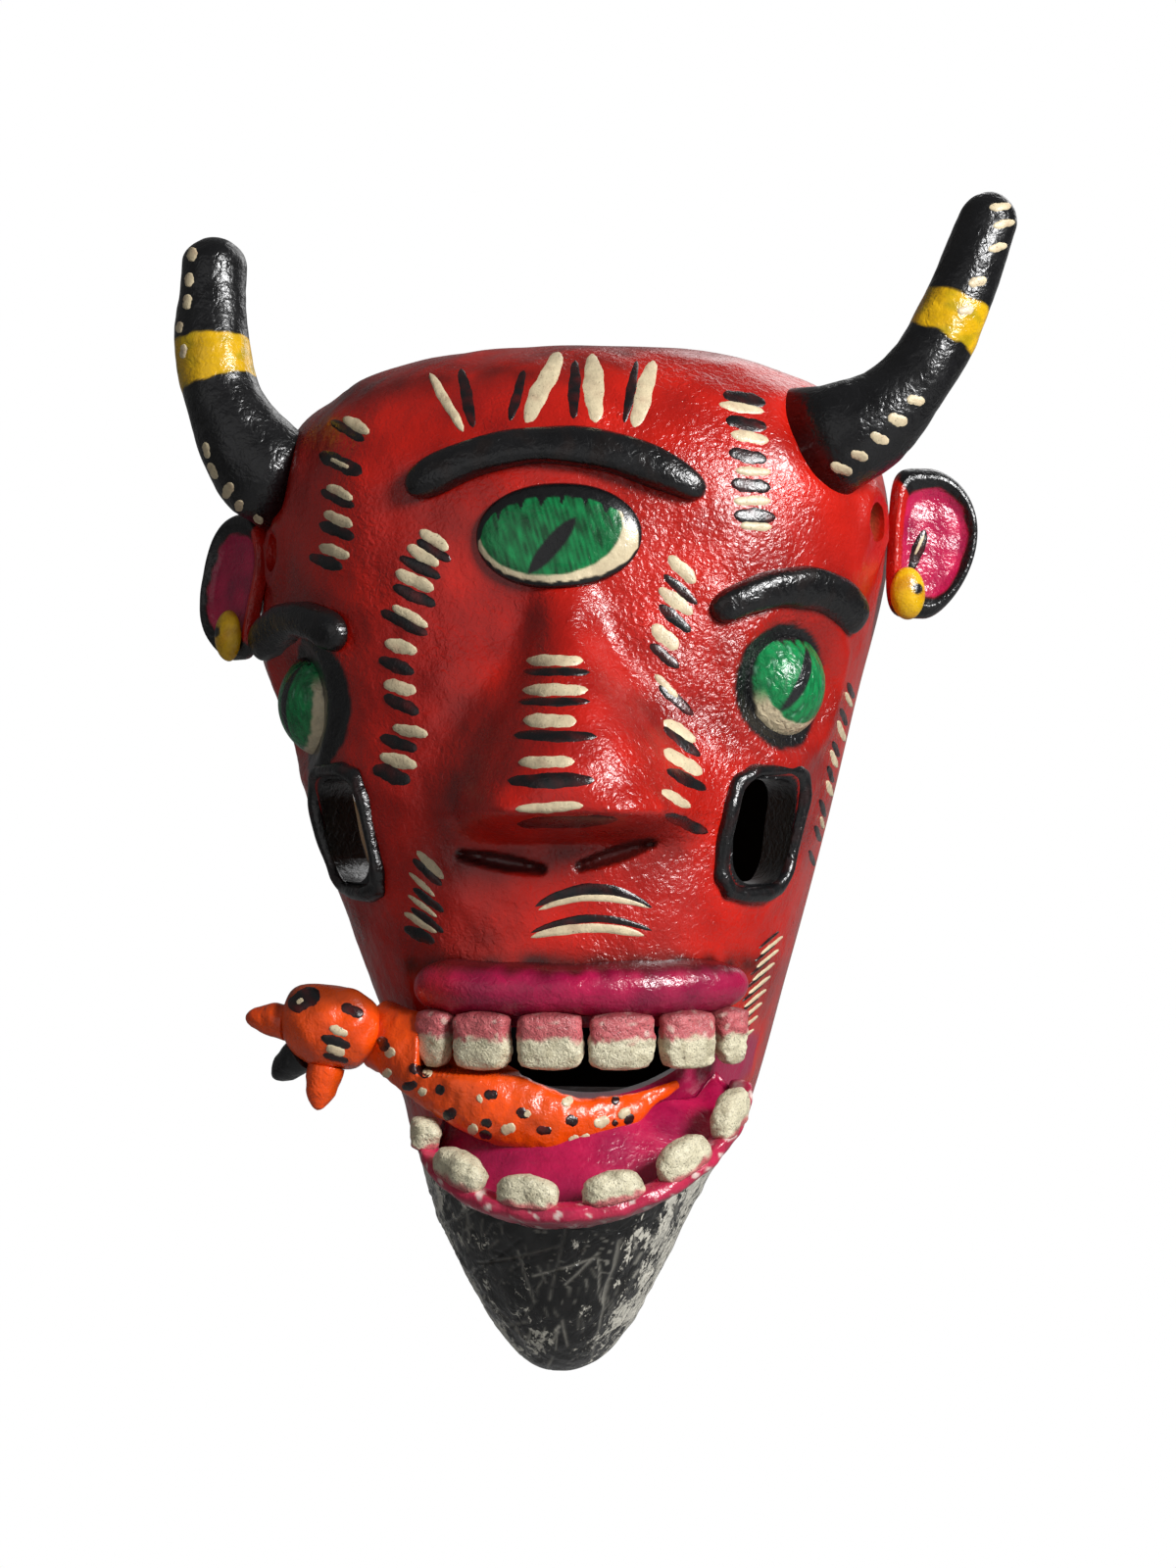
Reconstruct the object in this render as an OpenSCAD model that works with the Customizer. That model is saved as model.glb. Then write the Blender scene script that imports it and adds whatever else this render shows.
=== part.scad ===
// Carved and painted dance mask of a three-eyed, horned devil with a spotted feline in its mouth.
// Millimetres. +Z is up as the mask is worn, the face looks along -Y, +X is to the viewer's right.
// The origin is on the plane of the back rim, about midway between the two strap holes.
// A place on the face is given by a turn (degrees round from straight ahead, + to the viewer's
// right) and a height z; skin() turns these into a point on the carved surface.

/* [Face outline] */
// Height of the crown above the strap holes
crown_z = 60; // [52:1:68]
// Height where the crown starts to round over
shoulder_z = -12; // [-18:1:-4]
// Width across the temples
temple_w = 198; // [180:1:215]
// Depth from the back rim to the forehead
temple_d = 77; // [68:1:88]
// Height of the side eyes' level
eye_z = -49; // [-53:1:-44]
// Width of the face at the side eyes
eye_level_w = 181; // [168:1:198]
// Depth of the face at the side eyes
eye_level_d = 82; // [74:1:92]
// Height of the peepholes' level
cheek_z = -91; // [-96:1:-86]
// Width across the cheeks
cheek_w = 161; // [148:1:176]
// Depth of the face at the cheeks
cheek_d = 86; // [78:1:96]
// Height of the middle of the upper lip
lip_z = -136; // [-140:1:-132]
// Width of the face at the upper lip
lip_level_w = 132; // [122:1:144]
// Depth of the face at the upper lip
lip_level_d = 87; // [80:1:96]
// Height of the joint between the face and the beard
chin_z = -184; // [-188:1:-180]
// How far the eyes' and cheeks' levels lean to the left
face_lean = 2.5; // [0:0.5:4]
// Width at the chin joint
chin_w = 104; // [96:1:116]
// Depth at the chin joint
chin_d = 80; // [74:1:88]
// How far the beard leans to the left
beard_lean = 3; // [0:0.5:5]
// Height of the lower end of the beard
beard_tip_z = -258; // [-270:1:-250]
// Width of the beard near its end
beard_end_w = 56; // [50:1:66]
// Depth of the beard near its end
beard_end_d = 60; // [54:1:68]
// How far the left temple swells out under its brow
temple_swell = 7; // [0:1:8]
// Thickness of the carved wall
wall = 11; // [9:0.5:13]
// Thickness of the floor under the wearer's chin
chin_floor = 10; // [8:1:13]

/* [Nose] */
// Sideways place of the nose, which leans a little off the middle
nose_x = 7; // [-4:1:12]
// Height of the upper end of the nose
nose_top_z = -18; // [-26:1:-12]
// Height of the wings of the nose
nose_wing_z = -84; // [-89:1:-80]
// How far the tip of the nose stands out
nose_reach = 32; // [22:1:40]
// Half width of the nose at its wings
nose_half_w = 26; // [20:1:30]
// Half width of the nose at its bridge
bridge_half_w = 9; // [7:1:13]

/* [Eyes] */
// Diameter of the turned ball of a side eye
eyeball_d = 34; // [30:1:36]
// How far a side eye's ball stands out of its seat
eyeball_reach = 10; // [8:1:12]
// Depth of the flat seat cut for a side eye
eye_seat_depth = 3; // [2:0.5:4]
// Turn of the right eye
eye_right_turn = 54; // [50:1:58]
// Turn of the left eye
eye_left_turn = -65; // [-69:1:-60]
// How far the left eye sits below the right one
eye_left_drop = 5; // [0:1:8]
// Width of the forehead eye
eye_forehead_w = 48; // [40:1:52]
// Height of the forehead eye
eye_forehead_h = 31; // [24:1:34]
// Height of the middle of the forehead eye
eye_forehead_z = -5; // [-9:1:-2]
// How far the forehead eye stands out
eye_forehead_reach = 5; // [3:0.5:7]

/* [Brows] */
// Length of the forehead brow
brow_forehead_l = 88; // [76:1:96]
// Height of the middle of the forehead brow
brow_forehead_z = 22; // [19:1:26]
// Length of a side brow
brow_side_l = 59; // [50:1:62]
// Height of the side brows above their eyes
brow_side_rise = 28; // [26:1:31]
// Breadth of a brow
brow_breadth = 12; // [9:1:13]
// How far a brow stands out
brow_reach = 6; // [4:0.5:8]
// Rise of the forehead brow's arch
brow_arch = 14; // [10:1:16]

/* [Peepholes] */
// Width of a peephole
peephole_w = 26; // [22:1:28]
// Height of a peephole
peephole_h = 31; // [26:1:34]
// Turn of the right peephole
peephole_right_turn = 52; // [49:1:55]
// Turn of the left peephole
peephole_left_turn = -52; // [-55:1:-49]
// Sideways aim of a peephole from straight ahead
peephole_aim = 36; // [30:1:44]
// Breadth of a peephole's raised rim
peephole_rim_w = 4; // [3:0.5:5]
// How far a peephole's rim stands out
peephole_rim_reach = 3; // [2:0.5:4]

/* [Horns] */
// Diameter of the right horn at its band
horn_right_d = 21.5; // [18:0.5:25]
// Diameter of the left horn at its band
horn_left_d = 25; // [20:0.5:27]
// Height of the foot of a horn where it meets the head
horn_foot_h = 34; // [30:1:38]
// How far the right horn's tip stands out from its foot
horn_right_spread = 50; // [44:1:58]
// How far the right horn's tip rises above its foot
horn_right_rise = 74; // [64:1:82]
// How far the left horn's tip stands out from its foot
horn_left_spread = 21; // [16:1:34]
// How far the left horn's tip rises above its foot
horn_left_rise = 78; // [68:1:84]
// Diameter of a horn's tenon
horn_tenon_d = 13; // [10:0.5:15]

/* [Ears] */
// Height of an ear
ear_h = 47; // [40:1:52]
// Breadth of an ear
ear_w = 31; // [26:1:36]
// Thickness of an ear
ear_t = 8; // [6:0.5:10]
// Backward sweep of the right ear
ear_right_sweep = 16; // [8:1:22]
// Backward sweep of the left ear
ear_left_sweep = 36; // [30:1:40]
// Diameter of an ear's tenon
ear_tenon_d = 5; // [4:0.5:6]
// Height of an earring
earring_h = 16; // [13:1:18]
// Breadth of an earring
earring_w = 11; // [9:1:13]
// Diameter of the pin that holds an earring
earring_pin_d = 2; // [1.5:0.1:2.5]

/* [Strap holes] */
// Diameter of a strap hole
strap_hole_d = 12; // [10:0.5:14]
// Turn of the right strap hole
strap_right_turn = 72; // [70:1:75]
// Turn of the left strap hole, set further forward between the horn's foot and the ear
strap_left_turn = -70; // [-71:1:-67]

/* [Mouth] */
// Sideways place of the middle of the mouth
mouth_x = 10.5; // [4:0.5:13]
// Length of the upper lip
lip_l = 102; // [92:1:108]
// Breadth of the upper lip
lip_breadth = 16; // [14:0.5:18]
// How far the upper lip stands out
lip_reach = 10; // [8:0.5:12]
// Height of the lower edge of the mouth opening below the lip's middle
mouth_drop = 31.5; // [30:0.5:33]
// Radius of the curved lower edge of the mouth opening
mouth_r = 46; // [42:1:52]
// Width of a middle upper tooth
front_tooth_w = 18.4; // [16:0.2:19]
// Width of a tooth next to the middle ones
side_tooth_w = 16.6; // [14:0.2:17]
// Width of a corner tooth
corner_tooth_w = 11; // [9:0.2:12]
// Length of the upper teeth
upper_tooth_l = 17; // [14:0.5:19]
// Thickness of the teeth
tooth_t = 8.5; // [7:0.5:9.5]
// Diameter of a tooth's root
tooth_root_d = 4; // [3:0.2:5]

/* [Lower jaw] */
// How far the lower jaw stands out in front
jaw_reach = 37; // [32:1:42]
// Half the angle over which the jaw follows the face
jaw_turn = 42; // [38:1:46]
// Breadth of the gum ridge
gum_w = 10; // [8.5:0.5:12]
// Height of the gum ridge above the jaw's floor
gum_h = 6; // [4:0.5:8]
// Height of the gum ridge's top in front, below the chin joint
gum_drop = 9; // [6:1:11]
// How far the gum ridge climbs towards the corners
gum_climb = 22; // [14:1:25]
// How much higher the right corner is than the middle of the two
gum_tilt = 7; // [0:1:9]
// Length of a lower tooth along the gum
lower_tooth_w = 18; // [15:0.5:19]
// Height of the lower teeth
lower_tooth_h = 10; // [8:0.5:12]
// Diameter of a joining dowel
dowel_d = 6; // [5:0.5:7]
// Length of a joining dowel
dowel_l = 16; // [12:1:16]

/* [Feline] */
// Height of the feline's body
feline_d = 24; // [20:0.5:25]
// Length of the feline's head
feline_head_l = 32; // [28:1:36]
// Breadth of the feline's head
feline_head_w = 25; // [22:1:28]
// Length of a feline's ear
feline_ear_l = 12; // [9:1:14]
// Thickness of a feline's ear at its foot
feline_ear_d = 11; // [9:0.5:12]

/* [Hidden] */

// Fits and small sizes
glue = 0.3;            // gap left for glue under a piece that sits on the face
fit = 0.15;            // radial clearance of a tenon or dowel in its socket
end_gap = 0.6;         // room past the end of a tenon or dowel
edge_t = 0.6;          // least thickness of an applied piece at its edge
tenon_l = 7.5;         // length of a horn's or an ear's tenon
root_l = 6;            // length of a tooth's root
eye_pin_d = 5;         // pin on the back of a side eye
eye_pin_l = 3;
pin_overlap = 2;       // how far a pin or tenon runs on inside its own piece
round_fn = 48;
root_fn = 32;
ball_fn = 64;

// Shape of the bowl
squareness = 2.3;      // exponent of the face's plan curve, 2 is an ellipse
crown_power = 3.0;     // how squarely the crown rounds over
tip_power = 2.3;       // how bluntly the beard ends
tip_round = 32;        // height over which the beard's end rounds off
beard_back = 28;       // the beard's back stands this far in front of the rim
beard_upper_z = chin_z - 25;
beard_lower_z = beard_tip_z + 18;
beard_swell = 3;       // fullness of the beard below the chin joint
beard_taper = 4;       // how much narrower the beard is at its very end
temple_z = 20;         // height of the fullest part of the temples
crown_flat = 3;        // how much shallower the face is at its crown
shoulder_in = 2;       // how much narrower and deeper the face is at its shoulder

// [height, half width, depth, sideways lean] at each level of the face, from the crown down
LEVELS = [
    [crown_z + 4, temple_w / 2, temple_d - crown_flat, 0],
    [temple_z, temple_w / 2, temple_d, 0],
    [shoulder_z, temple_w / 2 - shoulder_in, temple_d + shoulder_in, 0],
    [eye_z, eye_level_w / 2, eye_level_d, -face_lean],
    [cheek_z, cheek_w / 2, cheek_d, -face_lean],
    [lip_z, lip_level_w / 2, lip_level_d, 0],
    [chin_z, chin_w / 2, chin_d, 0],
    [beard_upper_z, (chin_w + beard_end_w) / 4 + shoulder_in, (chin_d + beard_end_d) / 2 + beard_swell,
     -beard_lean],
    [beard_lower_z, beard_end_w / 2, beard_end_d, -beard_lean],
    [beard_tip_z - beard_taper, beard_end_w / 2 - beard_taper, beard_end_d - 2 * beard_taper, -beard_lean]
];

function mix(a, b, t) = a + (b - a) * t;
function ease(a, b, v) = let (t = max(0, min(1, (v - a) / (b - a)))) t * t * (3 - 2 * t);
function unit(v) = v / norm(v);

// ---- the face's surface ----

function level_slope(i, k) =
    let (a = LEVELS[max(i - 1, 0)], b = LEVELS[min(i + 1, len(LEVELS) - 1)])
    (b[k] - a[k]) / (b[0] - a[0]);

// Smooth value of column k of LEVELS at height z
function level_value(z, k) =
    let (zz = max(min(z, LEVELS[0][0]), LEVELS[len(LEVELS) - 1][0]),
         i = [for (j = [0 : len(LEVELS) - 2]) if (zz >= LEVELS[j + 1][0]) j][0],
         a = LEVELS[i], b = LEVELS[i + 1], h = b[0] - a[0], t = (zz - a[0]) / h)
    (2 * pow(t, 3) - 3 * t * t + 1) * a[k] + (pow(t, 3) - 2 * t * t + t) * h * level_slope(i, k)
    + (3 * t * t - 2 * pow(t, 3)) * b[k] + (pow(t, 3) - t * t) * h * level_slope(i + 1, k);

// Shrinks the crown and the beard's tip to a rounded end
function crown_cap(z) = z <= shoulder_z ? 1 :
    pow(max(0, 1 - pow((z - shoulder_z) / (crown_z - shoulder_z), crown_power)), 1 / crown_power);
function tip_cap(z) = let (start = beard_tip_z + tip_round) z >= start ? 1 :
    pow(max(0, 1 - pow((start - z) / tip_round, tip_power)), 1 / tip_power);

function outward(turn) = [sin(turn), -cos(turn), 0];
function plan_depth(turn) = pow(max(0, 1 - pow(abs(sin(turn)), squareness)), 1 / squareness);
function bowl(turn, z, inset = 0) =
    [(level_value(z, 1) - inset) * crown_cap(z) * sin(turn) + level_value(z, 3),
     -(level_value(z, 2) - inset) * crown_cap(z) * plan_depth(turn), z];

eye_right_rise = 2;    // the right eye stands a little above the eyes' level
eye_right_z = eye_z + eye_right_rise;
eye_left_z = eye_right_z - eye_left_drop;
EYE_SPOTS = [bowl(eye_right_turn, eye_right_z), bowl(eye_left_turn, eye_left_z)];
swell_turn = -84;      // place of the left temple's swell
swell_rise = 20;       // height of the swell's middle above the left eye
SWELL_SPOT = bowl(swell_turn, eye_left_z + swell_rise);
swell_r = 22;
socket_r = eyeball_d * 0.64;
socket_depth = 5;
nose_fall = 11;        // height over which the nose's underside falls back to the lip
nose_edge = 2.4;       // how squarely the nose's sides fall away
soft_edge = 2.5;       // how squarely the swell and the eye hollows fall away
bridge_share = 0.18;   // share of the nose's reach that its bridge already has
bridge_from = 8;       // the bridge starts this far above the nose's upper end
bridge_to = 12;        // and is full this far below it
widen_from = 10;       // the nose starts to widen this far below its upper end
wing_settle = 4;       // the nose is full this far above its wings

// The nose and the hollows round the side eyes, as a height above the plain bowl
function nose_height(x, z) =
    let (low = ease(nose_top_z, nose_wing_z + wing_settle, z),
         bridge = ease(nose_top_z + bridge_from, nose_top_z - bridge_to, z),
         rise = nose_reach * (bridge_share * bridge + (1 - bridge_share) * low),
         widened = ease(nose_top_z - widen_from, nose_wing_z + wing_settle / 2, z),
         half_w = mix(bridge_half_w, nose_half_w, widened))
    rise * (1 - ease(nose_wing_z, nose_wing_z - nose_fall, z))
    * exp(-pow(abs(x - nose_x * (1 + low) / 2) / half_w, nose_edge));
function relief(p) = nose_height(p.x, p.z)
    + temple_swell * exp(-pow(norm(p - SWELL_SPOT) / swell_r, soft_edge))
    - socket_depth * (exp(-pow(norm(p - EYE_SPOTS[0]) / socket_r, soft_edge))
                      + exp(-pow(norm(p - EYE_SPOTS[1]) / socket_r, soft_edge)));

// A point on the carved surface, raised by off along the outward direction
function skin(turn, z, off = 0) =
    let (p = bowl(turn, z)) p + (relief(p) + off) * outward(turn);

// The turn reached by going du millimetres sideways along the surface
walk_steps = 6;
function walk(turn, z, du, left = walk_steps) = left == 0 ? turn :
    let (speed = norm(bowl(turn + 1, z) - bowl(turn - 1, z)) / 2)
    walk(turn + du / walk_steps / speed, z, du, left - 1);

// A point du sideways and dz up from a place on the surface
function beside(turn, z, du, dz, off = 0) = skin(walk(turn, z + dz, du), z + dz, off);
function turn_at_x(x, z) = asin((x - level_value(z, 3)) / level_value(z, 1));

module at_skin(turn, z, off = 0) {
    translate(skin(turn, z, off)) rotate([0, 0, turn]) rotate([90, 0, 0]) children();
}

// ---- solids from loops of points ----

// Signed volume of a mesh, used to turn its faces outward
function mesh_volume(points, faces) =
    [for (f = faces) cross(points[f[0]], points[f[1]]) * points[f[2]]] * [for (f = faces) 1 / 6];
function outward_faces(points, faces) =
    mesh_volume(points, faces) > 0 ? [for (f = faces) [f[2], f[1], f[0]]] : faces;
module mesh(points, faces) {
    polyhedron(points, outward_faces(points, faces));
}

function quad(a, b, c, d) = [[a, b, c], [a, c, d]];
function side_faces(n, m, ring = false) =
    [for (i = [0 : n - (ring ? 1 : 2)], j = [0 : m - 1])
        let (k = (i + 1) % n, l = (j + 1) % m)
        each quad(i * m + j, i * m + l, k * m + l, k * m + j)];
function fan(start, m, hub, back = false) =
    [for (j = [0 : m - 1]) let (a = start + j, b = start + (j + 1) % m)
        back ? [hub, b, a] : [hub, a, b]];
// Closes a loop whose second half runs back over its first half
function zip(start, m, back = false) =
    [for (j = [0 : m / 2 - 2])
        each let (q = quad(start + j, start + j + 1, start + m - 2 - j, start + m - 1 - j))
            back ? [for (f = q) [f[2], f[1], f[0]]] : q];

function flat(loops) = [for (l = loops) each l];
function middle(loop) = [for (p = loop) 1 / len(loop)] * loop;

// A solid through loops of points, closed at both ends by a fan
module loft(loops) {
    n = len(loops);
    m = len(loops[0]);
    points = concat(flat(loops), [middle(loops[0]), middle(loops[n - 1])]);
    mesh(points, concat(side_faces(n, m), fan(0, m, n * m, true), fan((n - 1) * m, m, n * m + 1)));
}

// A strip whose cross-sections run along its underside and back over its top
module strip(loops) {
    n = len(loops);
    m = len(loops[0]);
    mesh(flat(loops), concat(side_faces(n, m), zip(0, m, true), zip((n - 1) * m, m)));
}

module hoop(loops) {
    mesh(flat(loops), side_faces(len(loops), len(loops[0]), true));
}

// Cross-section of a piece applied to the face: centre (du, dz), direction across, half breadth
function applied_section(turn, z, c, across, half, reach, n = 6) = concat(
    [for (k = [0 : n]) let (t = 2 * k / n - 1, q = c + across * half * t)
        beside(turn, z, q.x, q.y, glue)],
    [for (k = [n : -1 : 0]) let (t = 2 * k / n - 1, q = c + across * half * t)
        beside(turn, z, q.x, q.y, glue + edge_t + (reach - edge_t) * sqrt(1 - t * t))]);

end_share = 0.985;     // share of a strip's fullness that is gone at its very end
// A rolled strip l long that arches by rise and tapers to its ends
module roll(turn, z, l, breadth, reach, rise = 0, lean = 0, blunt = 6, n = 18) {
    strip([for (i = [0 : n])
        let (s = 2 * i / n - 1,
             along = unit([l / 2, -2 * rise * s + lean]),
             full = sqrt(1 - end_share * pow(abs(s), blunt)))
        applied_section(turn, z, [s * l / 2, -rise * s * s + lean * s], [-along.y, along.x],
                        breadth / 2 * full, edge_t + (reach - edge_t) * full)]);
}

// ---- the face and the beard ----

face_columns = 44;
crown_rows = [87, 82, 75, 66, 55, 43, 30, 15];
body_rows = 27;

// Heights of the shell's rows of points, close together where the crown rounds over
ROW_Z = concat(
    [for (a = crown_rows) shoulder_z + (crown_z - shoulder_z) * pow(sin(a), 2 / crown_power)],
    [for (i = [0 : body_rows]) mix(shoulder_z, chin_z, i / body_rows)]);
function column_turn(j) = 180 * j / face_columns - 90;
// The hollow's rows follow the outer ones, squeezed between the crown and the chin floor
function hollow_z(z) = mix(chin_z + chin_floor, crown_z - wall, (z - chin_z) / (crown_z - chin_z));
function hollow_point(turn, z) =
    let (p = bowl(turn, z, wall)) [p.x, p.y, hollow_z(z)];

module carved_bowl() {
    rows = len(ROW_Z);
    cols = face_columns + 1;
    inner_cols = face_columns / 2 + 1;
    outer = [for (z = ROW_Z, j = [0 : face_columns]) skin(column_turn(j), z)];
    inner = [for (z = ROW_Z, j = [0 : inner_cols - 1]) hollow_point(column_turn(2 * j), z)];
    base = rows * cols;
    hubs = base + rows * inner_cols;
    points = concat(outer, inner, [[0, 0, crown_z], [0, 0, chin_z],
        [0, 0, crown_z - wall], [0, 0, chin_z + chin_floor]]);
    last = rows - 1;
    mesh(points, concat(
        [for (i = [0 : last - 1], j = [0 : cols - 2])
            each quad(i * cols + j, i * cols + j + 1, (i + 1) * cols + j + 1, (i + 1) * cols + j)],
        [for (j = [0 : cols - 2]) [hubs, j + 1, j]],
        [for (j = [0 : cols - 2]) [hubs + 1, last * cols + j, last * cols + j + 1]],
        [for (i = [0 : last - 1], j = [0 : inner_cols - 2])
            let (a = base + i * inner_cols + j, b = a + inner_cols)
            each quad(a, b, b + 1, a + 1)],
        [for (j = [0 : inner_cols - 2]) [hubs + 2, base + j, base + j + 1]],
        [for (j = [0 : inner_cols - 2]) let (a = base + last * inner_cols + j) [hubs + 3, a + 1, a]],
        [for (i = [0 : last - 1])
            let (a = i * cols, b = base + i * inner_cols)
            each quad(a, a + cols, b + inner_cols, b)],
        [for (i = [0 : last - 1])
            let (a = i * cols + cols - 1, b = base + i * inner_cols + inner_cols - 1)
            each quad(a, b, b + inner_cols, a + cols)],
        quad(0, base, hubs + 2, hubs),
        quad(cols - 1, hubs, hubs + 2, base + inner_cols - 1),
        quad(last * cols, hubs + 1, hubs + 3, base + last * inner_cols),
        quad(last * cols + cols - 1, base + rows * inner_cols - 1, hubs + 3, hubs + 1)));
}

module rounded_window(w, h, r) {
    square([w - 2 * r, h], center = true);
    square([w, h - 2 * r], center = true);
    for (sx = [-1, 1], sy = [-1, 1])
        translate([sx * (w / 2 - r), sy * (h / 2 - r)]) circle(r, $fn = round_fn);
}

peephole_corner_r = 8;
cut_depth = 60;
module peephole_cut(turn, side) {
    translate(skin(turn, cheek_z)) rotate([0, 0, side * peephole_aim]) rotate([90, 0, 0])
        linear_extrude(cut_depth, center = true)
            rounded_window(peephole_w, peephole_h, peephole_corner_r);
}

mouth_z = lip_z - mouth_drop;           // lower edge of the mouth opening
mouth_top_z = lip_z - lip_breadth / 2 - 3;  // upper edge, behind the teeth
module mouth_cut() {
    translate([mouth_x, -cut_depth / 2, 0]) rotate([90, 0, 0]) linear_extrude(cut_depth * 1.5)
        intersection() {
            translate([0, mouth_z + mouth_r]) circle(mouth_r, $fn = 2 * round_fn);
            translate([-mouth_r, mouth_z - 1]) square([2 * mouth_r, mouth_top_z - mouth_z + 1]);
        }
}

module socket(d, depth) {
    translate([0, 0, -depth]) cylinder(d = d + 2 * fit, h = depth * 2 + wall, $fn = round_fn);
}

horn_right_turn = 58;
horn_left_turn = -74;
horn_right_z = 26;
horn_left_z = 18;
ear_right_turn = 82;
ear_left_turn = -78;
ear_right_z = -2;
ear_left_z = -14;
strap_right_z = 3;
strap_left_z = -5;
dowel_spread = 30;     // half the distance between the lip's dowels

module horn_socket(turn, z) {
    at_skin(turn, z) socket(horn_tenon_d, tenon_l + end_gap);
}
module ear_socket(turn, z) {
    at_skin(turn, z) socket(ear_tenon_d, tenon_l + end_gap);
}
module eye_socket(turn, z) {
    at_skin(turn, z) {
        translate([0, 0, -eye_seat_depth]) cylinder(d = eyeball_d + 2 * glue, h = wall, $fn = round_fn);
        translate([0, 0, -eye_seat_depth - eye_pin_l - end_gap])
            cylinder(d = eye_pin_d + 2 * fit, h = wall, $fn = round_fn);
    }
}
module strap_hole(turn, z) {
    at_skin(turn, z)
        cylinder(d = strap_hole_d, h = cut_depth, center = true, $fn = round_fn);
}
module lip_dowel_pair(d, l) {
    for (s = [-1, 1])
        at_skin(turn_at_x(mouth_x + s * dowel_spread, lip_z), lip_z)
            cylinder(d = d, h = l, center = true, $fn = round_fn);
}
beard_dowel_y = -(beard_back + chin_d) / 2;
module beard_dowel_pair(d, l) {
    for (s = [-1, 1])
        translate([s * dowel_spread / 2, beard_dowel_y, chin_z])
            cylinder(d = d, h = l, center = true, $fn = round_fn);
}
jaw_dowel_drop = 9;    // the jaw's dowels lie this far below the chin joint
jaw_dowel_z = chin_z - jaw_dowel_drop;
module jaw_dowel_pair(d, l) {
    for (s = [-1, 1])
        at_skin(turn_at_x(mouth_x + s * dowel_spread / 2, jaw_dowel_z), jaw_dowel_z)
            cylinder(d = d, h = l, center = true, $fn = round_fn);
}
lip_dowel_l = 6.4;     // length of the upper lip's dowels

module face_shell() {
    color("firebrick") difference() {
        carved_bowl();
        peephole_cut(peephole_right_turn, 1);
        peephole_cut(peephole_left_turn, -1);
        mouth_cut();
        horn_socket(horn_right_turn, horn_right_z);
        horn_socket(horn_left_turn, horn_left_z);
        ear_socket(ear_right_turn, ear_right_z);
        ear_socket(ear_left_turn, ear_left_z);
        eye_socket(eye_right_turn, eye_right_z);
        eye_socket(eye_left_turn, eye_left_z);
        strap_hole(strap_right_turn, strap_right_z);
        strap_hole(strap_left_turn, strap_left_z);
        lip_dowel_pair(dowel_d + 2 * fit, lip_dowel_l + 2 * end_gap);
        beard_dowel_pair(dowel_d + 2 * fit, dowel_l + 2 * end_gap);
    }
}

// Half the angle over which the beard's front runs, where it meets its flat back
function beard_turn(z) =
    asin(pow(1 - pow(beard_back / level_value(z, 2), squareness), 1 / squareness));
beard_columns = 24;
beard_back_columns = 6;
function beard_section(z) =
    let (cap = tip_cap(z), turn = beard_turn(z),
         front = [for (j = [0 : beard_columns])
             let (a = mix(-turn, turn, j / beard_columns),
                  p = [level_value(z, 1) * sin(a), -level_value(z, 2) * plan_depth(a)])
             [p.x * cap + level_value(z, 3), -beard_back + (p.y + beard_back) * cap, z]],
         a = front[beard_columns], b = front[0])
    concat(front, [for (j = [1 : beard_back_columns - 1]) mix(a, b, j / beard_back_columns)]);

module beard() {
    body = [for (i = [0 : 9]) mix(chin_z - glue, beard_tip_z + tip_round, i / 9)];
    tip = [for (a = [20 : 15 : 80]) beard_tip_z + tip_round * (1 - pow(sin(a), 2 / tip_power))];
    color("dimgray") difference() {
        loft([for (z = concat(body, tip)) beard_section(z)]);
        beard_dowel_pair(dowel_d + 2 * fit, dowel_l + 2 * end_gap);
        jaw_dowel_pair(dowel_d + 2 * fit, dowel_l + 2 * end_gap);
    }
}
module beard_dowels() {
    color("burlywood") beard_dowel_pair(dowel_d, dowel_l);
}

// ---- horns, ears and earrings ----

function bezier(p, t) = pow(1 - t, 3) * p[0] + 3 * t * pow(1 - t, 2) * p[1]
    + 3 * t * t * (1 - t) * p[2] + pow(t, 3) * p[3];

forward = [0, -1, 0];
horn_sides = 16;
// A ring of points round c, square to dir
function ring(c, dir, a, b, n) =
    let (e1 = unit(forward - (forward * dir) * dir), e2 = cross(dir, e1))
    [for (j = [0 : n - 1]) c + a * cos(360 * j / n) * e1 + b * sin(360 * j / n) * e2];

// Shares of the horn's curve at which it has a ring, close together where it rounds to its tip
HORN_STEPS = [0.03, 0.08, 0.14, 0.21, 0.29, 0.38, 0.48, 0.58, 0.68, 0.78, 0.86, 0.92, 0.955, 0.98, 0.993];
horn_round_from = 0.9; // share of the horn's length at which its tip starts to round
horn_taper = 0.84;     // thickness of its upper end as a share of its band's
foot_fade = 1.6;       // how fast its spread foot gives way to a round section
// The foot's rings lie on the face, then rings climb the horn's curve to a round tip
function horn_loops(turn, z, side, path, foot_a, d) =
    let (foot_b = horn_foot_h / 2, n = horn_sides)
    concat(
        [for (k = [0.15, 0.5, 1])
            [for (j = [0 : n - 1]) let (a = 360 * j / n)
                beside(turn, z, -side * foot_a * k * cos(a), -side * foot_b * k * sin(a), glue)]],
        [for (t = HORN_STEPS)
            let (p = bezier(path, t),
                 dir = unit(bezier(path, t + 0.01) - bezier(path, t - 0.01)),
                 swell = pow(1 - ease(0, 0.5, t), foot_fade),
                 past = max(0, t - horn_round_from) / (1 - horn_round_from),
                 end = sqrt(1 - past * past),
                 r = d / 2 * mix(1, horn_taper, ease(0.5, 0.95, t)))
            ring(p, dir, mix(r, foot_a, swell) * end, mix(r, foot_b, swell) * end, n)]);

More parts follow.
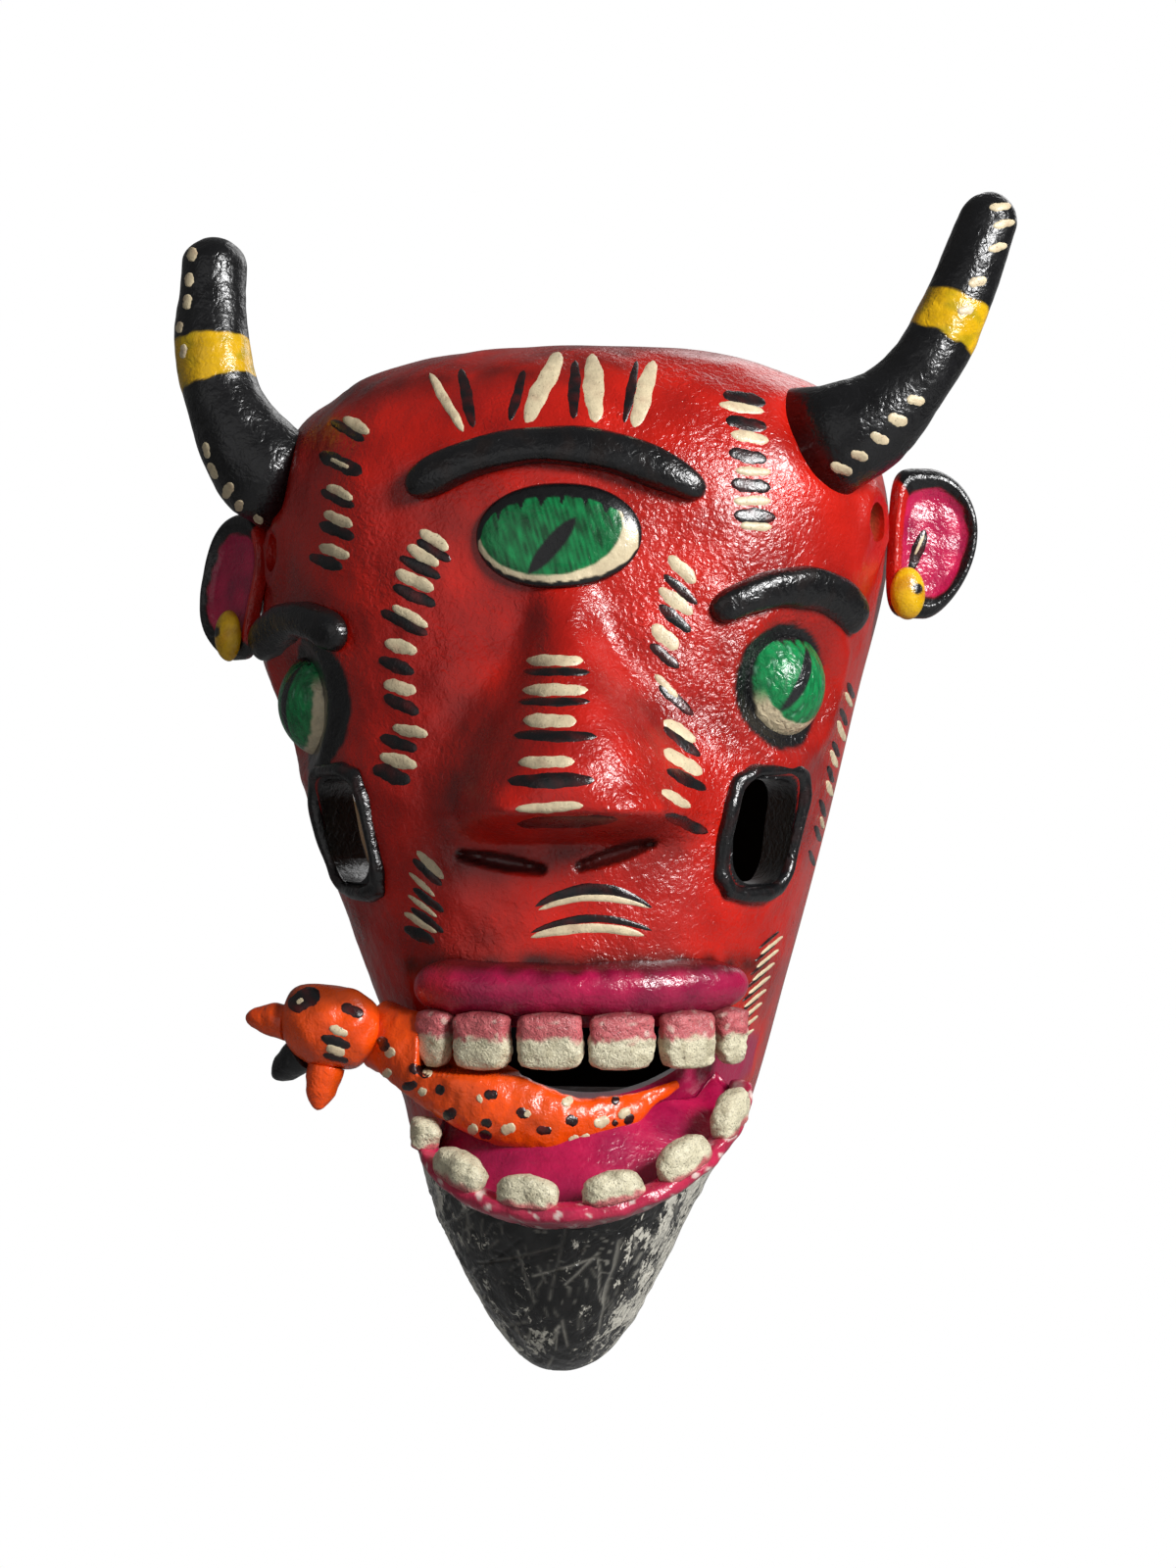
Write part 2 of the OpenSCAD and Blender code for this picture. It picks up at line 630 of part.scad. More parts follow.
horn_foot_half = 15;   // half the breadth of a horn's foot
horn_out = 34;         // length over which a horn heads outward from its foot
horn_up = 30;          // length over which it heads for its tip
horn_forward = 4;      // how far its middle bows forward
horn_right_climb = 18; // angle at which the right horn leaves the head
horn_left_climb = 44;
horn_right_tip = 0.4;  // sideways lean of the right horn's tip
horn_left_tip = -0.05;
module horn(turn, z, side, d, spread, rise, climb, tip_lean) {
    foot = skin(turn, z, glue);
    tip = foot + [side * spread, horn_forward, rise];
    // The horn leaves the head outward and bends up to its tip
    path = [foot, foot + [side * horn_out * cos(climb), -horn_forward, horn_out * sin(climb)],
            tip - horn_up * unit([side * tip_lean, 0, 1]), tip];
    loft(horn_loops(turn, z, side, path, horn_foot_half, d));
    at_skin(turn, z) translate([0, 0, -tenon_l])
        cylinder(d = horn_tenon_d, h = tenon_l + pin_overlap, $fn = round_fn);
}
module horn_right() {
    color([0.12, 0.12, 0.13]) horn(horn_right_turn, horn_right_z, 1, horn_right_d,
                                   horn_right_spread, horn_right_rise, horn_right_climb, horn_right_tip);
}
module horn_left() {
    color([0.12, 0.12, 0.13]) horn(horn_left_turn, horn_left_z, -1, horn_left_d,
                                   horn_left_spread, horn_left_rise, horn_left_climb, horn_left_tip);
}

ear_root = 0.4;        // gap between an ear's edge and the head
ear_root_power = 0.45; // how straight an ear's root runs along the head
ear_cup = 3.2;         // depth of an ear's hollow
ear_sides = 24;
ear_slim = 0.14;       // how much narrower the lower part of an ear is
// A point of an ear: u out from the head, v up along it, w forward of the ear's middle plane.
// Its back half starts further out, so the root lies along the head.
function ear_point(turn, z, sweep, u, v, w) =
    let (side = sign(turn), out = u + max(0, -w) * tan(sweep))
    skin(turn, z + v, ear_root) + out * [side * cos(sweep), sin(sweep), 0]
    + w * [side * sin(sweep), -cos(sweep), 0];
function ear_outline(turn, z, sweep, k, w) =
    [for (j = [0 : ear_sides - 1])
        let (a = 360 * j / ear_sides, slim = 1 - ear_slim + ear_slim * sin(a),
             across = cos(a) < 0 ? -pow(-cos(a), ear_root_power) : cos(a) * slim)
        ear_point(turn, z, sweep, ear_w / 2 * (1 + k * across), ear_h / 2 * k * sin(a), w)];
// [share of the outline, height above the middle plane] from the hollow round to the back
EAR_RINGS = [[0.2, ear_t / 2 - ear_cup], [0.6, ear_t / 2 - ear_cup], [0.76, ear_t / 2 - 1],
    [0.87, ear_t / 2], [0.96, ear_t / 4], [1, 0], [0.93, -ear_t / 3],
    [0.7, -ear_t / 2], [0.2, -ear_t / 2]];
module ear_tenon(turn, z, d, l) {
    at_skin(turn, z) translate([0, 0, -tenon_l]) cylinder(d = d, h = l, $fn = round_fn);
}

lobe_drop = 0.34;      // the lobe lies this share of an ear's height below its middle
lobe_v = -ear_h * lobe_drop;
lobe_share = 0.33;     // the left ear's lobe lies this share of its breadth from the head
lobe_right_share = 0.24;
module lobe_pin(turn, z, sweep, u, d, from, to) {
    translate(ear_point(turn, z, sweep, u, lobe_v, from)) rotate([0, 0, sign(turn) * sweep])
        rotate([90, 0, 0]) cylinder(d = d, h = to - from, $fn = round_fn);
}
pin_in = 4;            // depth of an earring's pin in its lobe
module ear(turn, z, sweep, lobe_u) {
    difference() {
        union() {
            loft([for (r = EAR_RINGS) ear_outline(turn, z, sweep, r[0], r[1])]);
            ear_tenon(turn, z, ear_tenon_d, tenon_l + ear_tenon_d);
        }
        lobe_pin(turn, z, sweep, lobe_u, earring_pin_d + 2 * fit,
                 ear_t / 2 - pin_in - end_gap, ear_t);
    }
}
module ear_right() {
    color("crimson") ear(ear_right_turn, ear_right_z, ear_right_sweep, ear_w * lobe_right_share);
}
module ear_left() {
    color("crimson") ear(ear_left_turn, ear_left_z, ear_left_sweep, ear_w * lobe_share);
}

earring_reach = 4.5;   // how far an earring stands out
// [share of the outline, share of the height] of a domed bead
BEAD_RINGS = [[0.94, 0], [1, 0.2], [0.86, 0.62], [0.5, 0.92], [0.15, 1]];
bead_sides = 16;
module earring(turn, z, sweep, lobe_u) {
    base = ear_t / 2 + glue;
    loft([for (r = BEAD_RINGS)
        [for (j = [0 : bead_sides - 1]) let (a = 360 * j / bead_sides)
            ear_point(turn, z, sweep, lobe_u, lobe_v, base + earring_reach * r[1])
            + earring_w / 2 * r[0] * cos(a) * [cos(sweep), sign(turn) * sin(sweep), 0]
            + [0, 0, earring_h / 2 * r[0] * sin(a)]]]);
    lobe_pin(turn, z, sweep, lobe_u, earring_pin_d, ear_t / 2 - pin_in, base + 1);
}
module earring_right() {
    color("gold") earring(ear_right_turn, ear_right_z, ear_right_sweep, ear_w * lobe_right_share);
}
module earring_left() {
    color("gold") earring(ear_left_turn, ear_left_z, ear_left_sweep, ear_w * lobe_share);
}

// ---- brows, eyes and peephole rims ----

brow_in = 4.5;         // a side brow's middle is turned in from its eye by this angle
brow_left_low = 3;     // the left brow sits this much closer to its eye
brow_left_share = 0.94; // length of the left brow as a share of the right one's
brow_right_arch = 0.7; // arch of a side brow as a share of the forehead brow's
brow_left_arch = 0.6;
module brow_forehead() {
    color([0.12, 0.12, 0.13])
        roll(0, brow_forehead_z, brow_forehead_l, brow_breadth, brow_reach, brow_arch, -1);
}
module brow_right() {
    color([0.12, 0.12, 0.13]) roll(eye_right_turn - brow_in, eye_right_z + brow_side_rise, brow_side_l,
        brow_breadth, brow_reach, brow_arch * brow_right_arch, -1);
}
module brow_left() {
    color([0.12, 0.12, 0.13]) roll(eye_left_turn + brow_in, eye_left_z + brow_side_rise - brow_left_low,
        brow_side_l * brow_left_share, brow_breadth, brow_reach, brow_arch * brow_left_arch, 1);
}

eye_forehead_turn = 1;
almond_end = 0.99;     // share of the forehead eye's height that is gone at its corners
almond_power = 2.2;    // how bluntly it comes to its corners
// The forehead eye is a low almond with its fullest height in the middle
module eye_forehead() {
    n = 20;
    color("seagreen") strip([for (i = [0 : n])
        let (s = 2 * i / n - 1, full = sqrt(1 - almond_end * pow(abs(s), almond_power)))
        applied_section(eye_forehead_turn, eye_forehead_z, [s * eye_forehead_w / 2, 0], [0, 1],
                        eye_forehead_h / 2 * full, edge_t + (eye_forehead_reach - edge_t) * full)]);
}

// A ball cut flat at the back, with a pin that centres it in its seat
module side_eye(turn, z) {
    ball_r = eyeball_d / 2;
    rise = eye_seat_depth + eyeball_reach;
    cap_r = (ball_r * ball_r + rise * rise) / (2 * rise);
    at_skin(turn, z, -eye_seat_depth) {
        intersection() {
            translate([0, 0, rise - cap_r]) sphere(cap_r, $fn = ball_fn);
            translate([0, 0, glue]) cylinder(r = ball_r, h = rise, $fn = ball_fn);
        }
        translate([0, 0, -eye_pin_l]) cylinder(d = eye_pin_d, h = eye_pin_l + pin_overlap, $fn = round_fn);
    }
}
module eye_right() {
    color("seagreen") side_eye(eye_right_turn, eye_right_z);
}
module eye_left() {
    color("seagreen") side_eye(eye_left_turn, eye_left_z);
}

window_square = 0.55;  // how square the rim's corners are, 1 is an ellipse
rim_inner_w = peephole_w + 3;
rim_inner_h = peephole_h + 2;
// Points of a rounded window's edge, from a squared ellipse
function squared(v, power) = sign(v) * pow(abs(v), power);
function window_point(a, w, h) =
    [w / 2 * squared(cos(a), window_square), h / 2 * squared(sin(a), window_square)];
module peephole_rim(turn) {
    n = 32;
    hoop([for (i = [0 : n - 1])
        let (a = 360 * (i + 0.5) / n, inner = window_point(a, rim_inner_w, rim_inner_h),
             outer = window_point(a, rim_inner_w + 2 * peephole_rim_w, rim_inner_h + 2 * peephole_rim_w),
             c = (inner + outer) / 2)
        applied_section(turn, cheek_z, c, unit(outer - inner), norm(outer - inner) / 2,
                        peephole_rim_reach, 4)]);
}
module peephole_rim_right() {
    color([0.12, 0.12, 0.13]) peephole_rim(peephole_right_turn);
}
module peephole_rim_left() {
    color([0.12, 0.12, 0.13]) peephole_rim(peephole_left_turn);
}

// ---- lips and teeth ----

mouth_turn = turn_at_x(mouth_x, lip_z);
tooth_top_z = lip_z - lip_breadth / 2 + 3;    // the teeth rise a little way up in front of the lip
tooth_off = lip_reach * 0.5 + 1;              // middle of the teeth in front of the face

TOOTH_W = [corner_tooth_w, side_tooth_w, front_tooth_w, front_tooth_w, side_tooth_w, corner_tooth_w];
tooth_gap = 1;
function sum_to(list, n, i = 0) = i >= n ? 0 : list[i] + sum_to(list, n, i + 1);
// Distance of an upper tooth's middle from the middle of the mouth, along the face
function tooth_du(i) = sum_to(TOOTH_W, i) + TOOTH_W[i] / 2 + i * tooth_gap
    - (sum_to(TOOTH_W, 6) + 5 * tooth_gap) / 2;
function tooth_turn(i) = walk(mouth_turn, lip_z, tooth_du(i));

module upper_lip() {
    color("mediumvioletred") difference() {
        roll(mouth_turn, lip_z, lip_l, lip_breadth, lip_reach, 0, 0, 12, 24);
        lip_dowel_pair(dowel_d + 2 * fit, lip_dowel_l + 2 * end_gap);
        for (i = [0 : 5])
            tooth_frame(i) cylinder(d = tooth_root_d + 2 * fit, h = root_l + end_gap, $fn = root_fn);
        for (i = [0 : 5])
            tooth_frame(i) translate([0, 0, -upper_tooth_l])
                linear_extrude(upper_tooth_l)
                    square([TOOTH_W[i] + tooth_gap, lip_reach * 4], center = true);
    }
}
module lip_dowels() {
    color("burlywood") lip_dowel_pair(dowel_d, lip_dowel_l);
}

// Stands at the top of an upper tooth: X along the gum, Y out from the face, Z up
module tooth_frame(i) {
    translate(skin(tooth_turn(i), tooth_top_z, tooth_off) + [0, 0, -2 * glue])
        rotate([0, 0, tooth_turn(i) + 180]) children();
}

tooth_square = 0.75;   // how square a tooth is in plan, 1 is an ellipse
// [share of the width, share of the length] from a tooth's neck to its edge
TOOTH_SHAPE = [[0.9, 0], [1, -0.12], [1, -0.5], [0.95, -0.72], [0.78, -0.88], [0.45, -0.98], [0.15, -1]];
function tooth_ring(w, t, z, n = 16) =
    [for (j = [0 : n - 1]) let (a = 360 * j / n)
        [w / 2 * squared(cos(a), tooth_square), t / 2 * squared(sin(a), tooth_square), z]];
module tooth(w, l, t) {
    loft([for (s = TOOTH_SHAPE) tooth_ring(w * s[0], t * mix(1, s[0], 0.8), l * s[1])]);
}
module upper_tooth(i) {
    color("antiquewhite") tooth_frame(i) {
        translate([0, 0, -glue]) tooth(TOOTH_W[i], upper_tooth_l, tooth_t);
        translate([0, 0, -pin_overlap]) cylinder(d = tooth_root_d, h = root_l + pin_overlap, $fn = root_fn);
    }
}
module upper_tooth_1() { upper_tooth(0); }
module upper_tooth_2() { upper_tooth(1); }
module upper_tooth_3() { upper_tooth(2); }
module upper_tooth_4() { upper_tooth(3); }
module upper_tooth_5() { upper_tooth(4); }
module upper_tooth_6() { upper_tooth(5); }

// ---- lower jaw ----

jaw_mid_turn = turn_at_x(mouth_x, chin_z) * 0.8;
jaw_end_reach = 17;    // how far the jaw stands out at its corners
jaw_floor_z = mouth_z - 1.5;
jaw_floor_fall = 0.28; // how far down the jaw's floor has fallen halfway to the gum
jaw_root = 11;         // depth of the jaw's root below the gum's top
jaw_root_climb = 2;
jaw_edge_drop = 1.5;   // the gum's front edge lies this far below its top
jaw_front_drop = 5;    // and its front face ends this far below it
jaw_front_in = 1.5;
jaw_bow = 1.6;         // how squarely the jaw's front curves round
// Along the jaw s runs from -1 at the left corner to 1 at the right
function jaw_out(s) = jaw_end_reach + (jaw_reach - jaw_end_reach) * pow(1 - pow(abs(s), jaw_bow), 0.75);
function gum_z(s) = chin_z - gum_drop + gum_climb * s * s + gum_tilt * s;
function jaw_side_turn(s) = jaw_mid_turn + s * jaw_turn;
function jaw_root_z(s) = gum_z(s) - jaw_root + jaw_root_climb * s * s;
function jaw_section(s) =
    let (o = jaw_out(s), g = gum_z(s), root = jaw_root_z(s), top = max(jaw_floor_z, g + 2),
         foot = max(o - gum_w, o * 0.2))
    concat(
        [for (k = [0 : 4]) skin(jaw_side_turn(s), mix(root, top, k / 4), glue)],
        [for (q = [[foot * 0.45, mix(top, g - gum_h, jaw_floor_fall)], [foot, g - gum_h * min(1, o / jaw_reach)],
                   [o - gum_w * 0.8, g], [o - gum_w * 0.2, g], [o, g - jaw_edge_drop],
                   [o - jaw_front_in, g - jaw_front_drop], [o * 0.55, mix(root, g - jaw_front_drop, 0.35)]])
            let (base = skin(jaw_side_turn(s), mix(root, top, 0.5), glue))
            [base.x, base.y, q[1]] + q[0] * outward(jaw_side_turn(s))]);

module lower_jaw() {
    n = 26;
    color("palevioletred") difference() {
        loft([for (i = [0 : n]) jaw_section(2 * i / n - 1)]);
        jaw_dowel_pair(dowel_d + 2 * fit, dowel_l + 2 * end_gap);
        for (i = [0 : 5])
            lower_tooth_frame(i) translate([0, 0, -lower_root_l - end_gap])
                cylinder(d = tooth_root_d + 2 * fit, h = root_l * 2, $fn = root_fn);
        feline_peg(dowel_d + 2 * fit, end_gap);
        // the bed in which the feline lies, open to the face behind it
        for (back = [0, bed_back])
            translate([0, back, 0]) feline_loft(glue);
    }
}
module jaw_dowels() {
    color("burlywood") jaw_dowel_pair(dowel_d, dowel_l);
}

// Places of the lower teeth along the jaw, with a gap for the feline's body at the left
LOWER_PLACES = [-0.96, -0.65, -0.275, 0.125, 0.475, 0.8];
// Width of each as a share of lower_tooth_w
LOWER_SHARES = [0.62, 1.05, 1, 0.94, 1.05, 1];
left_tooth_share = 0.7; // height of the first one, which stands under the feline's neck
lower_tooth_in = 3.5;  // the lower teeth stand this far in from the gum's edge
lower_root_l = 3.5;    // length of a lower tooth's root
function gum_point(s) =
    let (base = skin(jaw_side_turn(s), mix(jaw_root_z(s), jaw_floor_z, 0.5), glue))
    [base.x, base.y, gum_z(s)] + (jaw_out(s) - lower_tooth_in) * outward(jaw_side_turn(s));
look = 0.02;           // step along the jaw used to find the ridge's direction
// Stands on the gum ridge: X along the ridge, Z up
module lower_tooth_frame(i) {
    s = LOWER_PLACES[i];
    along = gum_point(s + look) - gum_point(s - look);
    translate(gum_point(s)) rotate([0, 0, atan2(along.y, along.x)])
        rotate([0, -asin(along.z / norm(along)), 0]) children();
}
module lower_tooth(i) {
    w = lower_tooth_w * LOWER_SHARES[i];
    h = lower_tooth_h * (i == 0 ? left_tooth_share : 1);
    color("antiquewhite") lower_tooth_frame(i) {
        translate([0, 0, glue]) mirror([0, 0, 1]) tooth(w, h, tooth_t);
        translate([0, 0, -lower_root_l])
            cylinder(d = tooth_root_d, h = lower_root_l + pin_overlap, $fn = root_fn);
    }
}
module lower_tooth_1() { lower_tooth(0); }
module lower_tooth_2() { lower_tooth(1); }
module lower_tooth_3() { lower_tooth(2); }
module lower_tooth_4() { lower_tooth(3); }
module lower_tooth_5() { lower_tooth(4); }
module lower_tooth_6() { lower_tooth(5); }

// ---- feline ----

// Middle of the mouth's lower edge; the feline's places are measured from it
mouth_front = [mouth_x, bowl(mouth_turn, mouth_z).y, mouth_z];
// [place, thickness as a share of feline_d] from the tail to the neck
FELINE_LINE = [
    [[25.5, 10.5, 3], 0.09], [[18, 3.5, 0], 0.27], [[6.5, -2.5, -5], 0.49],
    [[-7, -6, -6], 0.71], [[-21, -7, -3.5], 0.89], [[-33.5, -5.5, 2.5], 0.96],
    [[-45, -1, 9], 0.96], [[-53.5, 4, 14], 0.92], [[-62.5, 11.5, 16.5], 0.87]
];
span_end = len(FELINE_LINE) - 1;
line_look = 0.05;      // step along the line used to find its direction
function line_point(k) = mouth_front + FELINE_LINE[k][0];
function spline(a, b, c, d, t) =
    0.5 * ((2 * b) + (c - a) * t + (2 * a - 5 * b + 4 * c - d) * t * t
           + (3 * b - a - 3 * c + d) * t * t * t);
function line_at(t, part) =
    let (n = span_end, i = min(floor(t), n - 1), f = t - i,
         q = [for (k = [i - 1 : i + 2]) let (m = max(0, min(n, k)))
                 part == 0 ? line_point(m) : FELINE_LINE[m][1]])
    spline(q[0], q[1], q[2], q[3], f);
feline_flat = 0.66;    // depth of the body's oval section as a share of its height
function feline_ring(t, more = 0, n = 16) =
    let (p = line_at(t, 0), r = line_at(t, 1) * feline_d / 2,
         dir = unit(line_at(min(span_end, t + line_look), 0) - line_at(max(0, t - line_look), 0)))
    ring(p, dir, r * feline_flat + more, r + more, n);
feline_steps = 24;
bed_back = 3;          // how far the feline's bed in the jaw opens towards the face
module feline_loft(more = 0) {
    loft([for (i = [0 : feline_steps]) feline_ring(span_end * i / feline_steps, more)]);
}
peg_station = 4;       // the body's peg stands under this station of its line
peg_l = 5;             // and runs this far into the jaw
module feline_peg(d, more) {
    translate(line_point(peg_station) + [0, 0, -feline_d / 2 - peg_l - more])
        cylinder(d = d, h = feline_d / 2, $fn = round_fn);
}
module feline_body() {
    color("orangered") difference() {
        union() {
            feline_loft();
            feline_peg(dowel_d, 0);
        }
        // the first two upper teeth stand in front of the body's upper part
        for (i = [0, 1])
            tooth_frame(i)
                translate([-TOOTH_W[i] / 2 - tooth_gap, -tooth_t / 2 - glue, -upper_tooth_l - 4 * glue])
                    cube([TOOTH_W[i] + 2 * tooth_gap, cut_depth, upper_tooth_l * 2]);
    }
}

HEAD_OFFSET = [-feline_head_l * 0.42, -3, 2];     // from the neck to the head's middle
head_middle = line_point(span_end) + HEAD_OFFSET;
// An egg l long and w broad round a middle, from one share of its length to another
module egg(c, dir, l, w, from = -1, to = 1, n = 16) {
    loft([for (k = [0 : 8])
        let (a = mix(asin(from) + egg_end, asin(to) - egg_end, k / 8))
        ring(c + dir * l / 2 * sin(a), dir, w / 2 * cos(a), w / 2 * cos(a), n)]);
}
head_dir = unit([-1, 0.35, 0.05]);
egg_end = 3;           // angle left out at each end of the egg
neck_cut = 0.8;        // the head is cut flat at this share of its length, where the neck meets it
module feline_head() {
    color("orangered") difference() {
        egg(head_middle, head_dir, feline_head_l, feline_head_w, -neck_cut);
        loft([for (i = [-3 : 0]) grown_ring(span_end, i)]);
    }
}
function grown_ring(t, i) =
    let (p = line_at(t, 0), dir = unit(line_at(t, 0) - line_at(t - line_look, 0)),
         r = line_at(t, 1) * feline_d / 2)
    ring(p + dir * (i == 0 ? glue : i * 4), dir, r * feline_flat + glue, r + glue, 16);

// Distance from the head's middle to its surface
function head_reach(dir) = let (c = dir * head_dir)
    1 / norm([2 * c / feline_head_l, 2 * sqrt(1 - c * c) / feline_head_w]);

// [share of the length, share of the thickness] of a cone with a round end
NUB_SHAPE = [[0, 1], [0.3, 0.95], [0.6, 0.75], [0.82, 0.5], [0.95, 0.3], [1, 0.1]];
ear_upper_dir = unit([-1, 0.2, 0.1]);
ear_lower_dir = unit([-0.17, -0.16, -1]);
muzzle_dir = unit([-0.76, 0.23, -0.6]);
ear_lower_share = 0.95; // length of the lower ear as a share of the upper one's
muzzle_share = 0.9;
module nub(dir, l, d) {
    foot = head_middle + dir * head_reach(dir);
    loft([for (s = NUB_SHAPE)
        ring(foot + dir * (2 * glue + l * s[0]), dir, d / 2 * s[1], d / 2 * s[1], 12)]);
}
module feline_ear_upper() {
    color("orangered") nub(ear_upper_dir, feline_ear_l, feline_ear_d);
}
module feline_ear_lower() {
    color("orangered") nub(ear_lower_dir, feline_ear_l * ear_lower_share, feline_ear_d);
}
module feline_muzzle() {
    color([0.15, 0.13, 0.12]) nub(muzzle_dir, feline_ear_l * muzzle_share, feline_ear_d);
}

face_shell();
beard();
beard_dowels();
horn_left();
horn_right();
ear_left();
ear_right();
earring_left();
earring_right();
brow_forehead();
brow_left();
brow_right();
eye_forehead();
eye_left();
eye_right();
peephole_rim_left();
peephole_rim_right();
upper_lip();
lip_dowels();
upper_tooth_1();
upper_tooth_2();
upper_tooth_3();
upper_tooth_4();
upper_tooth_5();
upper_tooth_6();
lower_jaw();
jaw_dowels();
lower_tooth_1();
lower_tooth_2();
lower_tooth_3();
lower_tooth_4();
lower_tooth_5();
lower_tooth_6();
feline_body();
feline_head();
feline_ear_upper();
feline_ear_lower();
feline_muzzle();
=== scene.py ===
"""Looks for a carved and painted dance mask with horns, three eyes and a feline in its mouth.

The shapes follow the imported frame's own carving sizes, in millimetres, and are turned to metres as
each mesh is made. +Z is up as the mask is worn and the face looks along -Y.
"""

import logging
from dataclasses import dataclass
from enum import Enum
from math import asin, atan2, copysign, cos, degrees, hypot, pi, radians, sin, sqrt, tan
from typing import Optional, Sequence

import bpy
import numpy as np
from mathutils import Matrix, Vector
from mathutils.bvhtree import BVHTree

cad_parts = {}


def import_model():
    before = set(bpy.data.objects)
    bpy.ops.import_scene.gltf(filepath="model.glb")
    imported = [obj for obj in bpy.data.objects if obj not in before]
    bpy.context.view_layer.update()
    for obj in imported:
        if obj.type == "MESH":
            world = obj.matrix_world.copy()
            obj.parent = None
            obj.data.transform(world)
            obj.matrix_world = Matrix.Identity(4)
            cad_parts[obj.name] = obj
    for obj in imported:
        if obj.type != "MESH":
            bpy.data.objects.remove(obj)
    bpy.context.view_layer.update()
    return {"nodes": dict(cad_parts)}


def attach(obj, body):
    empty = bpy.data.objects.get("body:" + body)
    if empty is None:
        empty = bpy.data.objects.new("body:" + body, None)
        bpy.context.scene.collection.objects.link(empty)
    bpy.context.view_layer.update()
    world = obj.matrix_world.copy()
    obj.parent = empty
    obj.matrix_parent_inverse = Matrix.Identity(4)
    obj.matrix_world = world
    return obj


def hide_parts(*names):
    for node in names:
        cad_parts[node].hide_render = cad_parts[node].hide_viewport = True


LOG = logging.getLogger("mask")
MM = 0.001
norm = np.linalg.norm
UP = np.array([0, 0, 1.0])
Array = np.ndarray
Object, Tree, Socket = bpy.types.Object, bpy.types.NodeTree, bpy.types.NodeSocket
Shape = tuple[Array, list]


# ---- colours and materials

def linear(colour: str) -> tuple[float, float, float]:
    """Turn an sRGB hex colour to linear red, green and blue.

    Args:
        colour: six hex digits, with or without a leading #.

    Returns:
        The three linear values.
    """
    digits = colour.lstrip("#")
    parts = [int(digits[i:i + 2], 16) / 255 for i in (0, 2, 4)]
    return tuple(c / 12.92 if c <= 0.04045 else ((c + 0.055) / 1.055) ** 2.4 for c in parts)


def add_node(tree: Tree, kind: str, settings: Optional[dict] = None,
             links: Optional[dict] = None) -> bpy.types.Node:
    """Add one shader node, with its settings and what feeds it.

    Args:
        tree: the material's or world's node tree.
        kind: the node's type name.
        settings: attribute names, or input names or numbers, with their values.
        links: input names or numbers, with the output socket that feeds each.

    Returns:
        The new node.
    """
    node = tree.nodes.new(kind)
    for key, value in (settings or {}).items():
        if isinstance(key, str) and hasattr(node, key):
            setattr(node, key, value)
        else:
            node.inputs[key].default_value = value
    for key, source in (links or {}).items():
        tree.links.new(source, node.inputs[key])
    return node


def shader_tree(owner: bpy.types.ID) -> Tree:
    """The emptied node tree of a new material or world."""
    owner.use_nodes = True
    owner.node_tree.nodes.clear()
    return owner.node_tree


def noise(tree: Tree, place: Socket, size_mm: float, detail: float,
          rough: float, twist: float = 0.0) -> Socket:
    """Noise whose bumps are size_mm across."""
    return add_node(tree, "ShaderNodeTexNoise",
                    {"Scale": 1 / (size_mm * MM), "Detail": detail, "Roughness": rough,
                     "Distortion": twist}, {"Vector": place}).outputs[0]


def spread(tree: Tree, value: Socket, low: float, high: float,
           to_low: float = 0.0, to_high: float = 1.0) -> Socket:
    """A value, turned from the range low to high to the range to_low to to_high."""
    return add_node(tree, "ShaderNodeMapRange", {"From Min": low, "From Max": high,
                                                 "To Min": to_low, "To Max": to_high},
                    {"Value": value}).outputs[0]


def painted_over(tree: Tree, under: Socket, colour: Sequence[float],
                 share: Socket) -> Socket:
    """A linear colour laid over what is under it, as much as share says."""
    return add_node(tree, "ShaderNodeMix", {"data_type": "RGBA", "B": (*colour, 1)},
                    {"Factor": share, "A": under}).outputs["Result"]


class Coat(Enum):
    """How a surface dried, with its roughness, coat weight and specular level."""
    GLOSS = (0.3, 0.5, 0.4)
    SATIN = (0.42, 0.15, 0.45)
    RAW = (0.85, 0.0, 0.25)


